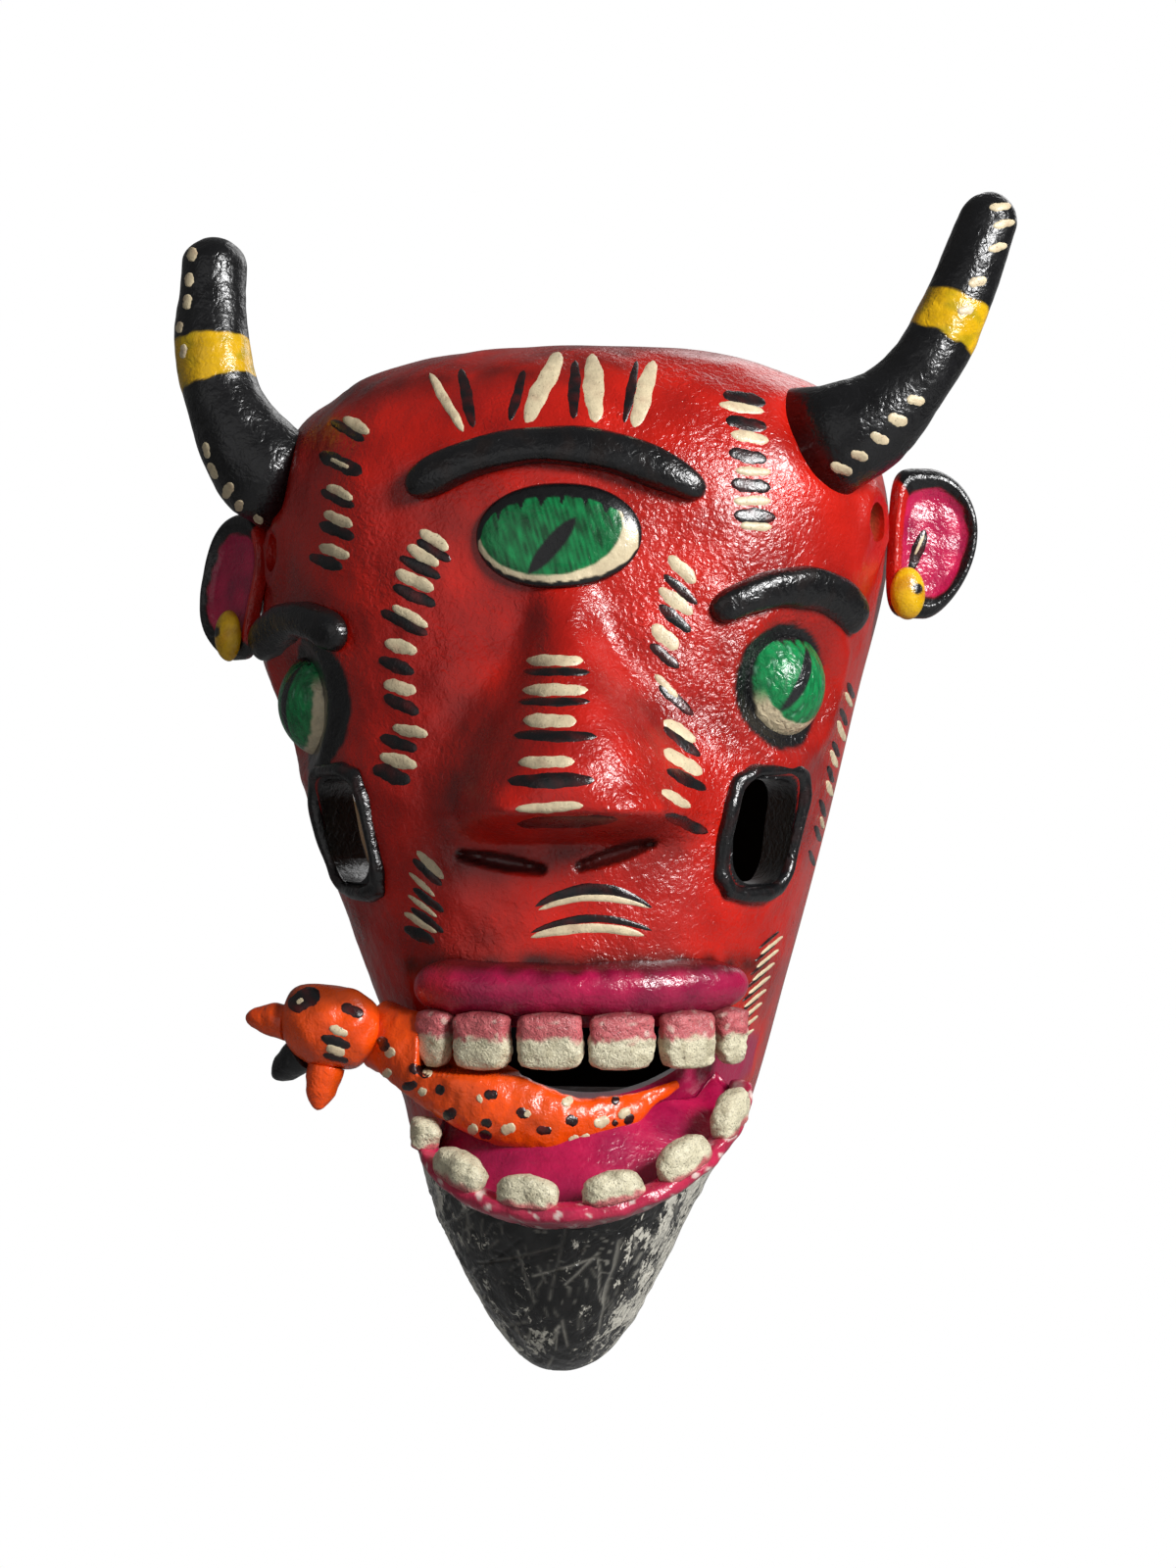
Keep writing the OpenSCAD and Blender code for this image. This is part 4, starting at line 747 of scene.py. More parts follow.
@dataclass
class FaceShell:
    """The carved face with its nose, hollows and openings, hollowed behind."""
    wall: float = 11.0
    chin_floor: float = 10.0
    columns: int = 250
    crown_rows: int = 46
    body_rows: int = 190
    nostrils: tuple[tuple[float, float, float, float], ...] = (
        (470, 872, 552, 887), (592, 884, 664, 860))
    peepholes: tuple[tuple[float, float], ...] = ((52.0, 36.0), (-52.0, -36.0))
    peephole_size: tuple[float, float, float] = (26.0, 31.0, 8.0)
    cheek_z: float = -91.0
    mouth_x: float = 10.5
    mouth_low_z: float = -167.5
    mouth_top_z: float = -147.0
    mouth_r: float = 46.0
    strap_holes: tuple[tuple[float, float], ...] = ((72.0, 3.0), (-70.0, -5.0))
    strap_hole_d: float = 12.0
    horn_feet: tuple[tuple[float, float], ...] = ((58.0, 26.0), (-74.0, 18.0))
    socket_marks: tuple[tuple[float, float], ...] = ((-2.8, 19.2), (8.0, 21.0))
    # lines in the frame's pixels, with the reach and strength of the brown painted shade along each
    brown_shade_lines: tuple[tuple[tuple[float, ...], float, float], ...] = (
        ((470, 515, 640, 525), 60, 0.25), ((455, 860, 480, 720), 26, 0.4),
        ((690, 860, 660, 720), 24, 0.3), ((455, 880, 690, 870), 18, 0.45),
        ((420, 985, 770, 985), 14, 0.85), ((430, 975, 500, 960), 30, 0.35),
        ((340, 400, 640, 366), 16, 0.5))

    def detail(self, turn: Array, z: Array, p: Array) -> Array:
        """Height of the fine carving over the main form, in mm.

        Args:
            turn: the turns.
            z: the heights.
            p: the places on the main form.

        Returns:
            The heights.
        """
        u, v = VIEW.pixels(p)
        front = np.cos(np.radians(turn)) > 0.1
        out = 0.45 * ripple(p, 42, 1) + 0.22 * ripple(p, 15, 2) + 0.08 * ripple(p, 6, 3)
        # wings of the nose, and the crease where they meet the cheeks
        for x, side in ((-14, -1), (28, 1)):
            d = np.hypot((p[..., 0] - x) / 11, (z + 86) / 8)
            out = out + 4.2 * np.exp(-d ** 2.6)
        for ends in self.nostrils:
            d, t = near_line(u, v, ends)
            width = 3.5 + 3.5 * np.sin(np.pi * np.clip(t * 0.8 + 0.1, 0, 1))
            out = out - 3.4 * np.exp(-(d / width) ** 3) * front
        # a ledge under each side brow and a roll of wood round each eye hollow
        for spot in (FORM.eye_right, FORM.eye_left):
            c = FORM.skin(*spot)
            out = out + 1.6 * ridge(p, c, 23, 4.5) + 1.3 * mound(p, c - 27 * UP, 11)
        # raised lips of the strap holes and collars round the horns' feet
        for hole in self.strap_holes:
            out = out + 2.0 * ridge(p, FORM.skin(*hole), 8.5, 3)
        for foot in self.horn_feet:
            out = out + 1.0 * ridge(p, FORM.skin(*foot), 20, 5)
        # dents of the gouge along the crown's edge
        out = out + 0.9 * ripple(p, 22, 7) * ease(25, 50, z)
        return out * ease(88.5, 80, np.abs(turn))

    def outside(self, turn: Array, z: Array) -> Array:
        """Places on the finished outer surface."""
        p = FORM.skin(turn, z)
        return FORM.skin(turn, z, self.detail(turn, z, p))

    def colours(self, p: Array) -> tuple[Array, Array]:
        """The paint on the outer surface, with brown painted shade in its hollows.

        Args:
            p: places in mm.

        Returns:
            The colour and the wrinkling at each place.
        """
        x, y, z = p.T
        u, v = VIEW.pixels(p)
        c = flat_colour(len(p), RED)
        c = blend_colour(c, RED_DEEP, 0.35 + 0.3 * ripple(p, 60, 11) + 0.2 * ripple(p, 20, 12))
        # painted shade: brown darkening in the hollows, at the crown's top, beside and under the
        # nose, above the lip and round what is set on the face
        brown_shade = 0.35 * ease(40, 58, z)
        for spot in (FORM.eye_right, FORM.eye_left):
            brown_shade = np.maximum(brown_shade, 0.55 * mound(p, FORM.skin(*spot), 24))
        for line, r, k in self.brown_shade_lines:
            d, _ = near_line(u, v, line)
            brown_shade = np.maximum(brown_shade, k * np.exp(-(d / r) ** 2) * (y < -20))
        brown_shade = brown_shade * (1 + 0.35 * ripple(p, 9, 13))
        c = blend_colour(c, RED_BROWN, brown_shade)
        # black eye hollows, painted a little past the balls
        for spot, (aside, r) in zip((FORM.eye_right, FORM.eye_left), self.socket_marks):
            centre = FORM.skin(spot[0] + aside, spot[1] - 1)
            d = norm(p - centre, axis=1) + 0.5 * ripple(p, 6, 14)
            c = blend_colour(c, BLACK, ease(r + 0.8, r - 0.6, d))
        # black edges of the nostrils round a brown-red slit
        for ends in self.nostrils:
            d, t = near_line(u, v, ends)
            edge = 6 + 3 * np.sin(np.pi * t)
            c = blend_colour(c, "#1A0A08", ease(edge + 2, edge - 1, d) * (y < -40) * 0.85)
            c = blend_colour(c, "#5A1512", ease(edge - 3, edge - 6, d) * (y < -40) * 0.8)
        # magenta runs round the mouth below the lip
        d = np.hypot((x - 12) / 47, (z + 158) / 19)
        c = blend_colour(c, MAGENTA, ease(1.05, 0.95, d) * (z < -139) * (y < -30))
        peel = 0.35 + 0.75 * np.exp(-(np.hypot((u - 720) / 110, (v - 680) / 260)) ** 2)
        peel = peel + 0.35 * ripple(p, 30, 15).clip(0, 1)
        return c, peel

    def build(self) -> Object:
        """Make the face, cut its openings and paint it.

        Returns:
            The face.
        """
        angles = np.radians(np.linspace(88.7, 3, self.crown_rows))
        span = FORM.crown_z - FORM.shoulder_z
        rows = np.concatenate([FORM.shoulder_z + span * np.sin(angles) ** (2 / FORM.crown_power),
                               np.linspace(FORM.shoulder_z, FORM.chin_z, self.body_rows)])
        turns = np.degrees(np.arcsin(np.linspace(-1, 1, self.columns)))
        turns = 0.35 * turns + 0.65 * np.linspace(-90, 90, self.columns)
        tt, zz = np.meshgrid(turns, rows)
        outer = self.outside(tt, zz)
        outer[..., 1] = np.minimum(outer[..., 1], 0.0)
        outer[:, 0, 1] = outer[:, -1, 1] = 0.0
        inner_turns = turns[::2]
        inner_turns = np.append(inner_turns[:-1], 90.0)
        it, iz = np.meshgrid(inner_turns, rows)
        inner = FORM.bowl(it, iz, self.wall)
        low, high = FORM.chin_z + self.chin_floor, FORM.crown_z - self.wall
        inner[..., 2] = low + (iz - FORM.chin_z) / (FORM.crown_z - FORM.chin_z) * (high - low)
        gouge = 0.5 * ripple(inner * np.array([1, 1, 0.35]), 11, 21) + 0.3 * ripple(inner, 25, 22)
        away = unit(inner * np.array([1, 1, 0]) + np.array([0, 1e-6, 0]))
        inner = inner + away * (gouge * ease(90, 82, np.abs(it)) - 0.4)[..., None]
        inner[..., 1] = np.minimum(inner[..., 1], 0.0)
        n, cols, icols = len(rows), outer.shape[1], inner.shape[1]
        base = n * cols
        hub = base + n * icols
        verts = np.vstack([outer.reshape(-1, 3), inner.reshape(-1, 3),
                           [[0, 0, FORM.crown_z], [0, 0, FORM.chin_z], [0, 0, high], [0, 0, low]]])
        faces = grid_faces(n, cols, closed=False)
        kinds = [0] * len(faces)
        last = (n - 1) * cols
        faces += [(hub, j + 1, j) for j in range(cols - 1)]
        faces += [(hub + 1, last + j, last + j + 1) for j in range(cols - 1)]
        kinds += [0] * (2 * (cols - 1))
        inside = [tuple(reversed(f)) for f in grid_faces(n, icols, base, closed=False)]
        ilast = base + (n - 1) * icols
        inside += [(hub + 2, base + j, base + j + 1) for j in range(icols - 1)]
        inside += [(hub + 3, ilast + j + 1, ilast + j) for j in range(icols - 1)]
        for i in range(n - 1):
            a, b = i * cols, base + i * icols
            inside.append((a, a + cols, b + icols, b))
            a, b = a + cols - 1, b + icols - 1
            inside.append((a, b, b + icols, a + cols))
        inside += [(0, base, hub + 2, hub), (cols - 1, hub, hub + 2, base + icols - 1),
                   (last, hub + 1, hub + 3, ilast),
                   (last + cols - 1, ilast + icols - 1, hub + 3, hub + 1)]
        faces += inside
        kinds += [1] * len(inside)
        faces = [tuple(reversed(f)) for f in faces]
        obj = make_piece("face_carving", (verts, faces), RED_ENAMEL, linear(WOOD),
                         nodes=("face_shell",))
        obj.data.materials.append(BARE_WOOD.material())
        obj.data.polygons.foreach_set("material_index", np.array(kinds, np.int32))
        self.cut(obj)
        self.dress(obj.data)
        return obj

    def cutter(self) -> Object:
        """Make the peepholes, mouth and strap holes as one set of solids.

        Returns:
            The set, to be cut out of the face.
        """
        def pushed(centre: Array, aim: float, x: Array, z: Array, steps: Sequence[float]) -> Shape:
            """A closed loop, pushed along its aim."""
            right, out = heading(aim)
            loop = centre + x[:, None] * right + z[:, None] * UP
            return lofted(np.stack([loop + out * k for k in steps]))

        w, h, r = self.peephole_size
        a = around(48) + pi / 48
        x, z = (w / 2 - r) * np.sign(np.cos(a)), (h / 2 - r) * np.sign(np.sin(a))
        solids = [pushed(FORM.skin(turn, self.cheek_z), aim, x + r * np.cos(a), z + r * np.sin(a),
                         (-30, 0, 30)) for turn, aim in self.peepholes]
        drop = self.mouth_top_z - self.mouth_low_z - self.mouth_r
        lean = atan2(drop, sqrt(self.mouth_r ** 2 - drop ** 2))
        a = -pi - lean + (pi + 2 * lean) * np.arange(41) / 40
        solids.append(pushed(np.array([self.mouth_x, 0, self.mouth_low_z + self.mouth_r]), 0,
                             self.mouth_r * np.cos(a), self.mouth_r * np.sin(a), (35, 70, 110)))
        a, r = around(32), self.strap_hole_d / 2
        solids += [pushed(FORM.skin(turn, z), turn, r * np.cos(a), r * np.sin(a), (-22, 0, 12))
                   for turn, z in self.strap_holes]
        return mesh_object("cutter", joined(solids))

    def cut(self, obj: Object) -> None:
        """Cut the openings through the face and keep the result."""
        tool = self.cutter()
        mod = obj.modifiers.new("openings", "BOOLEAN")
        mod.operation, mod.object, mod.solver = "DIFFERENCE", tool, "MANIFOLD"
        graph = bpy.context.evaluated_depsgraph_get()
        done = bpy.data.meshes.new_from_object(obj.evaluated_get(graph), depsgraph=graph)
        obj.modifiers.clear()
        LOG.info("openings cut: %d faces, then %d", len(obj.data.polygons), len(done.polygons))
        obj.data = done
        obj.data.name = "face_carving"
        bpy.data.objects.remove(tool)

    def dress(self, mesh: bpy.types.Mesh) -> None:
        """Paint the cut face, its openings' walls and the bare wood behind, with painted shade on the
        peepholes' walls and in the hollow near the openings.
        """
        n = len(mesh.vertices)
        co = np.empty(n * 3)
        mesh.vertices.foreach_get("co", co)
        p = co.reshape(-1, 3) / MM
        colours, peel = self.colours(p)
        mesh.polygons.foreach_set("use_smooth", np.ones(len(mesh.polygons), bool))
        mesh.set_sharp_from_angle(angle=radians(48))
        wood = np.zeros(n, bool)
        for poly in mesh.polygons:
            if poly.material_index == 1:
                wood[list(poly.vertices)] = True
        x, y, z = p.T
        deep = ease(1.2, 3.5, y - FORM.skin(FORM.turn_at_x(x, z), z)[:, 1])
        bare_wood_and_shade = flat_colour(n, WOOD)
        for turn, _ in self.peepholes:
            middle, right = FORM.skin(turn, self.cheek_z), heading(turn)[0]
            # painted shade: the bare wood inside darkens round each peephole
            d = norm(p - FORM.bowl(turn, self.cheek_z, self.wall), axis=1)
            bare_wood_and_shade = blend_colour(bare_wood_and_shade, HOLLOW_SHADE, ease(36, 22, d + 3 * ripple(p, 9, 23)))
            near = norm(p - middle, axis=1)
            # painted shade: each peephole's cut wall goes dark red-black away from the face
            colours = blend_colour(colours, "#2E0A08", deep * ease(30, 26, near))
            edge = ((p - middle) @ right / 15) ** 4 + ((z - self.cheek_z) / 17.2) ** 4
            colours = blend_colour(colours, BLACK, ease(1.1, 0.9, edge) * (1 - deep) * (near < 26))
        # painted shade: the hollow's wood darkens towards the bottom, behind the mouth
        bare_wood_and_shade = blend_colour(bare_wood_and_shade, HOLLOW_SHADE, ease(-138, -150, z))
        set_paint(mesh, np.where(wood[:, None], bare_wood_and_shade, colours), peel)


# ---- set-on pieces

def section(turn: float, z: float, centre: Array, across: Array, half: float, reach: float,
            steps: int = 14, edge: float = 0.6, glue: float = 0.05, square: float = 2.0) -> Array:
    """Cross-section of a piece set on the face, along its underside and back over its top.

    Args:
        turn: the turn it is measured from.
        z: the height it is measured from.
        centre: its middle, sideways and up from there in mm.
        across: its direction.
        half: half its breadth.
        reach: how far it stands out.
        steps: points along the underside.
        edge: thickness at its edges.
        glue: gap under it.
        square: how squarely its top rounds over.

    Returns:
        The places round the section.
    """
    t = np.linspace(-1, 1, steps + 1)
    low = centre[None, :] + across[None, :] * half * t[:, None]
    under = FORM.beside(turn, z, low[:, 0], low[:, 1], glue)
    top = glue + edge + (reach - edge) * np.clip(1 - np.abs(t) ** square, 0, 1) ** (1 / square)
    over = FORM.beside(turn, z, low[:, 0], low[:, 1], top)[::-1]
    return np.vstack([under, over])


@dataclass
class Roll:
    """A rolled or carved strip set on the face, such as a brow or a lip."""
    name: str
    node: str
    turn: float
    z: float
    length: float
    breadth: float
    reach: float
    rise: float = 0.0
    lean: float = 0.0
    blunt: float = 6.0
    square: float = 2.0
    seed: int = 31
    rows: int = 90
    finish: Finish = BLACK_ENAMEL
    colour: str = BLACK

    def rings(self) -> Array:
        """The strip's cross-sections from end to end."""
        out = []
        for i in range(self.rows + 1):
            s = 2 * i / self.rows - 1
            along = unit([self.length / 2, -2 * self.rise * s + self.lean])
            full = sqrt(1 - 0.985 * abs(s) ** self.blunt)
            centre = np.array([s * self.length / 2,
                               -self.rise * s * s + self.lean * s])
            wide = self.breadth / 2 * full * (1 + 0.05 * sin(5 * s + self.seed)
                                              + 0.03 * sin(13 * s + self.seed))
            out.append(section(self.turn, self.z, centre, np.array([-along[1], along[0]]), wide,
                               0.6 + (self.reach - 0.6) * full, square=self.square))
        return np.array(out)

    def build(self) -> Object:
        """Make and paint the strip.

        Returns:
            The piece.
        """
        rings = self.rings()
        rings[..., 1] -= 0.16 * (1 + ripple(rings, 7, self.seed)) * 0.5
        shape = lofted(rings)
        return make_piece(self.name, shape, self.finish, self.dress(shape[0]), nodes=(self.node,))

    def dress(self, verts: Array) -> Array:
        """The strip's paint, varied a little along it."""
        return mottled(verts, self.colour, "#2B1B14", 0.25, 8, self.seed + 1)


@dataclass
class Lip(Roll):
    """The broad pink upper lip, with painted shade along its upper edge."""

    def dress(self, verts: Array) -> Array:
        """The lip's paint, with painted shade along its upper edge, and redder at its left end."""
        x, _, z = verts.T
        colours = blend_colour(flat_colour(len(verts), self.colour), "#860E3A",
                               0.5 + 0.4 * ripple(verts, 16, 41))
        # painted shade: the lip darkens along its upper edge, where it meets the face
        colours = blend_colour(colours, "#4A1016",
                               ease(self.z + 3.5, self.z + 7, z + 0.7 * ripple(verts, 7, 42)))
        left = np.exp(-(np.hypot(x + 34, z - self.z + 3) / 8) ** 2)
        return blend_colour(colours, RED, 0.8 * left)


@dataclass
class Horn:
    """A carved horn with a painted band."""
    side: int
    name: str
    node: str
    turn: float
    z: float
    diameter: float
    spread: float
    rise: float
    out_rise: float
    tip_lean: float
    band: tuple[float, float]
    foot_h: float = 34.0
    foot_half: float = 15.0
    sides: int = 64
    rows: int = 150

    def path(self) -> Array:
        """The four points that shape the horn's curve."""
        foot = FORM.skin(self.turn, self.z, 0.3)
        tip = foot + np.array([self.side * self.spread, 4, self.rise])
        a = radians(self.out_rise)
        return np.array([foot, foot + np.array([self.side * 34 * cos(a), -4, 34 * sin(a)]),
                         tip - 30 * unit([self.side * self.tip_lean, 0, 1]), tip])

    def place(self, t: float) -> Array:
        """A point of the horn's middle line."""
        p = self.path()
        return ((1 - t) ** 3 * p[0] + 3 * t * (1 - t) ** 2 * p[1] + 3 * t * t * (1 - t) * p[2]
                + t ** 3 * p[3])

    def build(self) -> Object:
        """Make and paint the horn.

        Returns:
            The horn.
        """
        a, feet = around(self.sides), (0.05, 0.4, 0.75, 1.0)
        rings = [FORM.beside(self.turn, self.z, -self.side * self.foot_half * k * np.cos(a),
                             -self.side * self.foot_h / 2 * k * np.sin(a), 0.1) for k in feet]
        steps = np.concatenate([np.linspace(0.03, 0.9, self.rows),
                                0.9 + 0.1 * np.sin(np.radians(np.linspace(6, 84, 22)))])
        for t in steps:
            swell = (1 - float(ease(0, 0.5, t))) ** 1.6
            end = 1.0 if t < 0.9 else sqrt(max(0.0, 1 - ((t - 0.9) / 0.1) ** 2))
            r = self.diameter / 2 * (1 - 0.16 * float(ease(0.5, 0.95, t)))
            rings.append(ellipse(self.place(t), square_to(unit(self.place(t + 0.01)
                                                               - self.place(t - 0.01))), a,
                                 (r + (self.foot_half - r) * swell) * end,
                                 (r + (self.foot_h / 2 - r) * swell) * end))
        rings = np.array(rings)
        centre = rings.mean(1, keepdims=True)
        dent = 0.3 * ripple(rings, 16, 51) + 0.07 * ripple(rings, 5, 52)
        reach = norm(rings - centre, axis=-1, keepdims=True)
        lift = (dent - 0.5)[..., None] * np.minimum(1, reach / 6)
        lift[:len(feet)] = 0
        shape = lofted(rings + (rings - centre) / np.maximum(reach, 0.5) * lift)
        along = np.concatenate([np.repeat([0.0] * len(feet) + steps.tolist(), len(a)), [0, 1]])
        return make_piece(self.name, shape, BLACK_ENAMEL, self.dress(shape[0], along),
                          nodes=(self.node,))

    def dress(self, verts: Array, along: Array) -> Array:
        """Black paint with a band of yellow streaked green.

        Args:
            verts: places in mm.
            along: their share of the way along the horn.

        Returns:
            The colours.
        """
        wavy = along + 0.006 * ripple(verts, 8, 53)
        low, high = self.band
        share = ease(low - 0.004, low + 0.004, wavy) * ease(high + 0.004, high - 0.004, wavy)
        gold = mottled(verts * np.array([0.5, 1, 1.6]), YELLOW, "#8E8A0C", 0.5, 7, 54)
        return flat_colour(len(verts), BLACK) * (1 - share[:, None]) + gold * share[:, None]


@dataclass
class Ear:
    """A cupped ear and its yellow bead."""
    side: int
    name: str
    node: str
    bead: str
    bead_node: str
    turn: float
    z: float
    sweep: float
    lobe: float
    height: float = 47.0
    breadth: float = 31.0
    thick: float = 8.0
    sides: int = 72
    profile: tuple[tuple[float, float], ...] = (
        (0.02, 0.8), (0.2, 0.8), (0.45, 0.9), (0.6, 1.0), (0.7, 1.9), (0.78, 3.1), (0.84, 3.8),
        (0.9, 3.7), (0.95, 2.7), (0.985, 1.2), (1.0, 0.0), (0.985, -1.4), (0.95, -2.4),
        (0.86, -3.2), (0.7, -3.7), (0.45, -3.9), (0.2, -4.0), (0.02, -4.0))

    def place(self, u: Array, v: Array, w: Array) -> Array:
        """A place u out from the head, v up along it and w forward of the ear's middle plane."""
        u, v, w = np.broadcast_arrays(*(np.asarray(k, float) for k in (u, v, w)))
        right, out = heading(self.side * self.sweep)
        away = u + np.maximum(0, -w) * tan(radians(self.sweep))
        root = FORM.skin(np.full(v.shape, self.turn), self.z + v, 0.15)
        return root + away[..., None] * self.side * right + w[..., None] * out

    def build(self) -> Object:
        """Make and paint the ear.

        Returns:
            The ear.
        """
        a = around(self.sides)
        across = np.where(np.cos(a) < 0, -np.abs(np.cos(a)) ** 0.45,
                          np.cos(a) * (0.86 + 0.14 * np.sin(a)))
        share = np.linspace(0, len(self.profile) - 1, 64)
        ks, ws = (np.interp(share, range(len(self.profile)), row) for row in zip(*self.profile))
        rings = np.array([self.place(self.breadth / 2 * (1 + k * across),
                                     self.height / 2 * k * np.sin(a), np.full(self.sides, w))
                          for k, w in zip(ks, ws)])
        shape = lofted(rings + np.array([0, -0.25, 0]) * ripple(rings, 9, 61)[..., None])
        from_middle = np.repeat(np.where(share <= 10, ks, 2 - ks), self.sides)
        return make_piece(self.name, shape, RED_ENAMEL,
                          self.dress(shape[0], np.append(from_middle, [0, 2]),
                                     np.append(np.tile(a, len(ks)), [0, 0])), 0.6,
                          nodes=(self.node,))

    def dress(self, verts: Array, k: Array, angle: Array) -> Array:
        """Red paint, with a pink bowl and a black line on the rolled edge.

        Args:
            verts: places in mm.
            k: share of the way from the bowl's middle to the edge, and on behind it.
            angle: the angle round the bowl.

        Returns:
            The colours.
        """
        colours = blend_colour(flat_colour(len(verts), RED), RED_DEEP,
                               0.3 + 0.3 * ripple(verts, 15, 62))
        wob = k + 0.025 * ripple(verts, 7, 63)
        pink = blend_colour(flat_colour(len(verts), PINK), MAGENTA,
                            0.4 + 0.4 * ripple(verts, 9, 64))
        inside = ease(0.74, 0.7, wob)[:, None]
        band = ease(0.7, 0.74, wob) * ease(1.04, 0.98, wob) * (np.cos(angle) > -0.55)
        return blend_colour(colours * (1 - inside) + pink * inside, BLACK, band)

    def build_bead(self) -> Object:
        """Make and paint the bead on the lobe.

        Returns:
            The bead.
        """
        axes = (heading(self.side * self.sweep)[0], UP)
        rings = []
        for t in np.linspace(0, 1, 20):
            k = max((1 - t ** 2.4) ** 0.6 * (1 if t > 0.1 else 0.94 + 0.6 * t), 0.04)
            centre = self.place(self.breadth * self.lobe, -self.height * 0.34,
                                self.thick / 2 + 0.05 + 4.6 * t)
            rings.append(ellipse(centre, axes, around(48), 5.6 * k, 8.2 * k))
        shape = lofted(np.array(rings))
        dot = rings[13].mean(0) + np.array([self.side * 2.2, 0, 1.2])
        d = norm((shape[0] - dot) * np.array([1, 0.3, 1]), axis=1)
        colours = mottled(shape[0], YELLOW, "#B86A05", 0.5, 6, 65)
        return make_piece(self.bead, shape, YELLOW_ENAMEL,
                          blend_colour(colours, BLACK, ease(2.0, 1.5, d)),
                          nodes=(self.bead_node,))


def slit_share(x: Array, v: Array, slant: float, wide: float, long: float, up: float) -> Array:
    """How far places lie in an eye's slit.

    Args:
        x: across from the pupil, in mm.
        v: up from it.
        slant: the slit's slant in degrees.
        wide: its half width.
        long: its half length.
        up: how far its middle lies up along it.

    Returns:
        The share, 1 inside and 0 outside.
    """
    s = radians(slant)
    line = v * cos(s) - x * sin(s)
    along = x * cos(s) + v * sin(s)
    slit = wide * np.clip(1 - (np.abs(along - up) / long) ** 3, 0, 1)
    return ease(slit + 0.3, slit - 0.3, np.abs(line)) * (slit > 0)


@dataclass
class ForeheadEye:
    """The almond eye set low on the forehead."""
    turn: float = 1.0
    z: float = -5.0
    width: float = 48.0
    height: float = 31.0
    reach: float = 5.0
    rows: int = 170
    steps: int = 70

    def build(self) -> Object:
        """Make and paint the eye.

        Returns:
            The eye.
        """
        rings, marks = [], []
        for i in range(self.rows + 1):
            s = sin(pi * (i / self.rows - 0.5))
            full = sqrt(1 - 0.99 * abs(s) ** 2.2)
            half = self.height / 2 * full
            rings.append(section(self.turn, self.z, np.array([s * self.width / 2, 0]),
                                 np.array([0, 1.0]), half, 0.6 + (self.reach - 0.6) * full,
                                 steps=self.steps, square=2.3))
            t = np.linspace(-1, 1, self.steps + 1) * half
            v = np.concatenate([t, t[::-1]])
            marks.append(np.stack([np.full(len(v), s * self.width / 2), v,
                                   np.full(len(v), half)], -1))
        shape = lofted(np.array(rings))
        ends = [[-self.width / 2, 0, 1], [self.width / 2, 0, 1]]
        marks = np.vstack([np.array(marks).reshape(-1, 3), ends])
        return make_piece("forehead_eye", shape, EYE_ENAMEL, self.dress(shape[0], marks), 0.35,
                          nodes=("eye_forehead",))

    def dress(self, verts: Array, marks: Array) -> Array:
        """Green iris, cream lid, lashes, outline and slit.

        Args:
            verts: places in mm.
            marks: their places across and up the eye, with its half height there.

        Returns:
            The colours.
        """
        x, v, half = marks.T
        streak = ripple(np.stack([x * 1.5 + v * 0.4, v * 0.25, np.zeros_like(v)], -1), 2.2, 71)
        colours = blend_colour(flat_colour(len(verts), GREEN), "#03401F", 0.6 + 0.35 * streak)
        wob = 0.35 * ripple(verts, 4, 72)
        # cream lid round the iris, wider at the right, then the lashes and the dark outline over it
        iris = np.hypot((x + 2.5) / 20.5, (v - 2.6) / 14.6)
        colours = blend_colour(colours, CREAM, ease(0.98, 1.02, iris + 0.02 * wob))
        lash = 4.4 + 2.6 * np.maximum(0, np.sin(x * 1.05 + 0.4 * np.sin(x * 0.7))) ** 3
        dark = ease(lash + 0.25, lash - 0.25, half - v + wob)
        dark = np.maximum(dark, ease(2.0, 1.5, v + half + wob))
        dark = np.maximum(dark, slit_share(x + 0.6, v + 2.5, 52, 2.5, 10.5, -1.0))
        dark = np.maximum(dark, ease(22.6, 23.2, np.abs(x)))
        return blend_colour(colours, BLACK, dark)


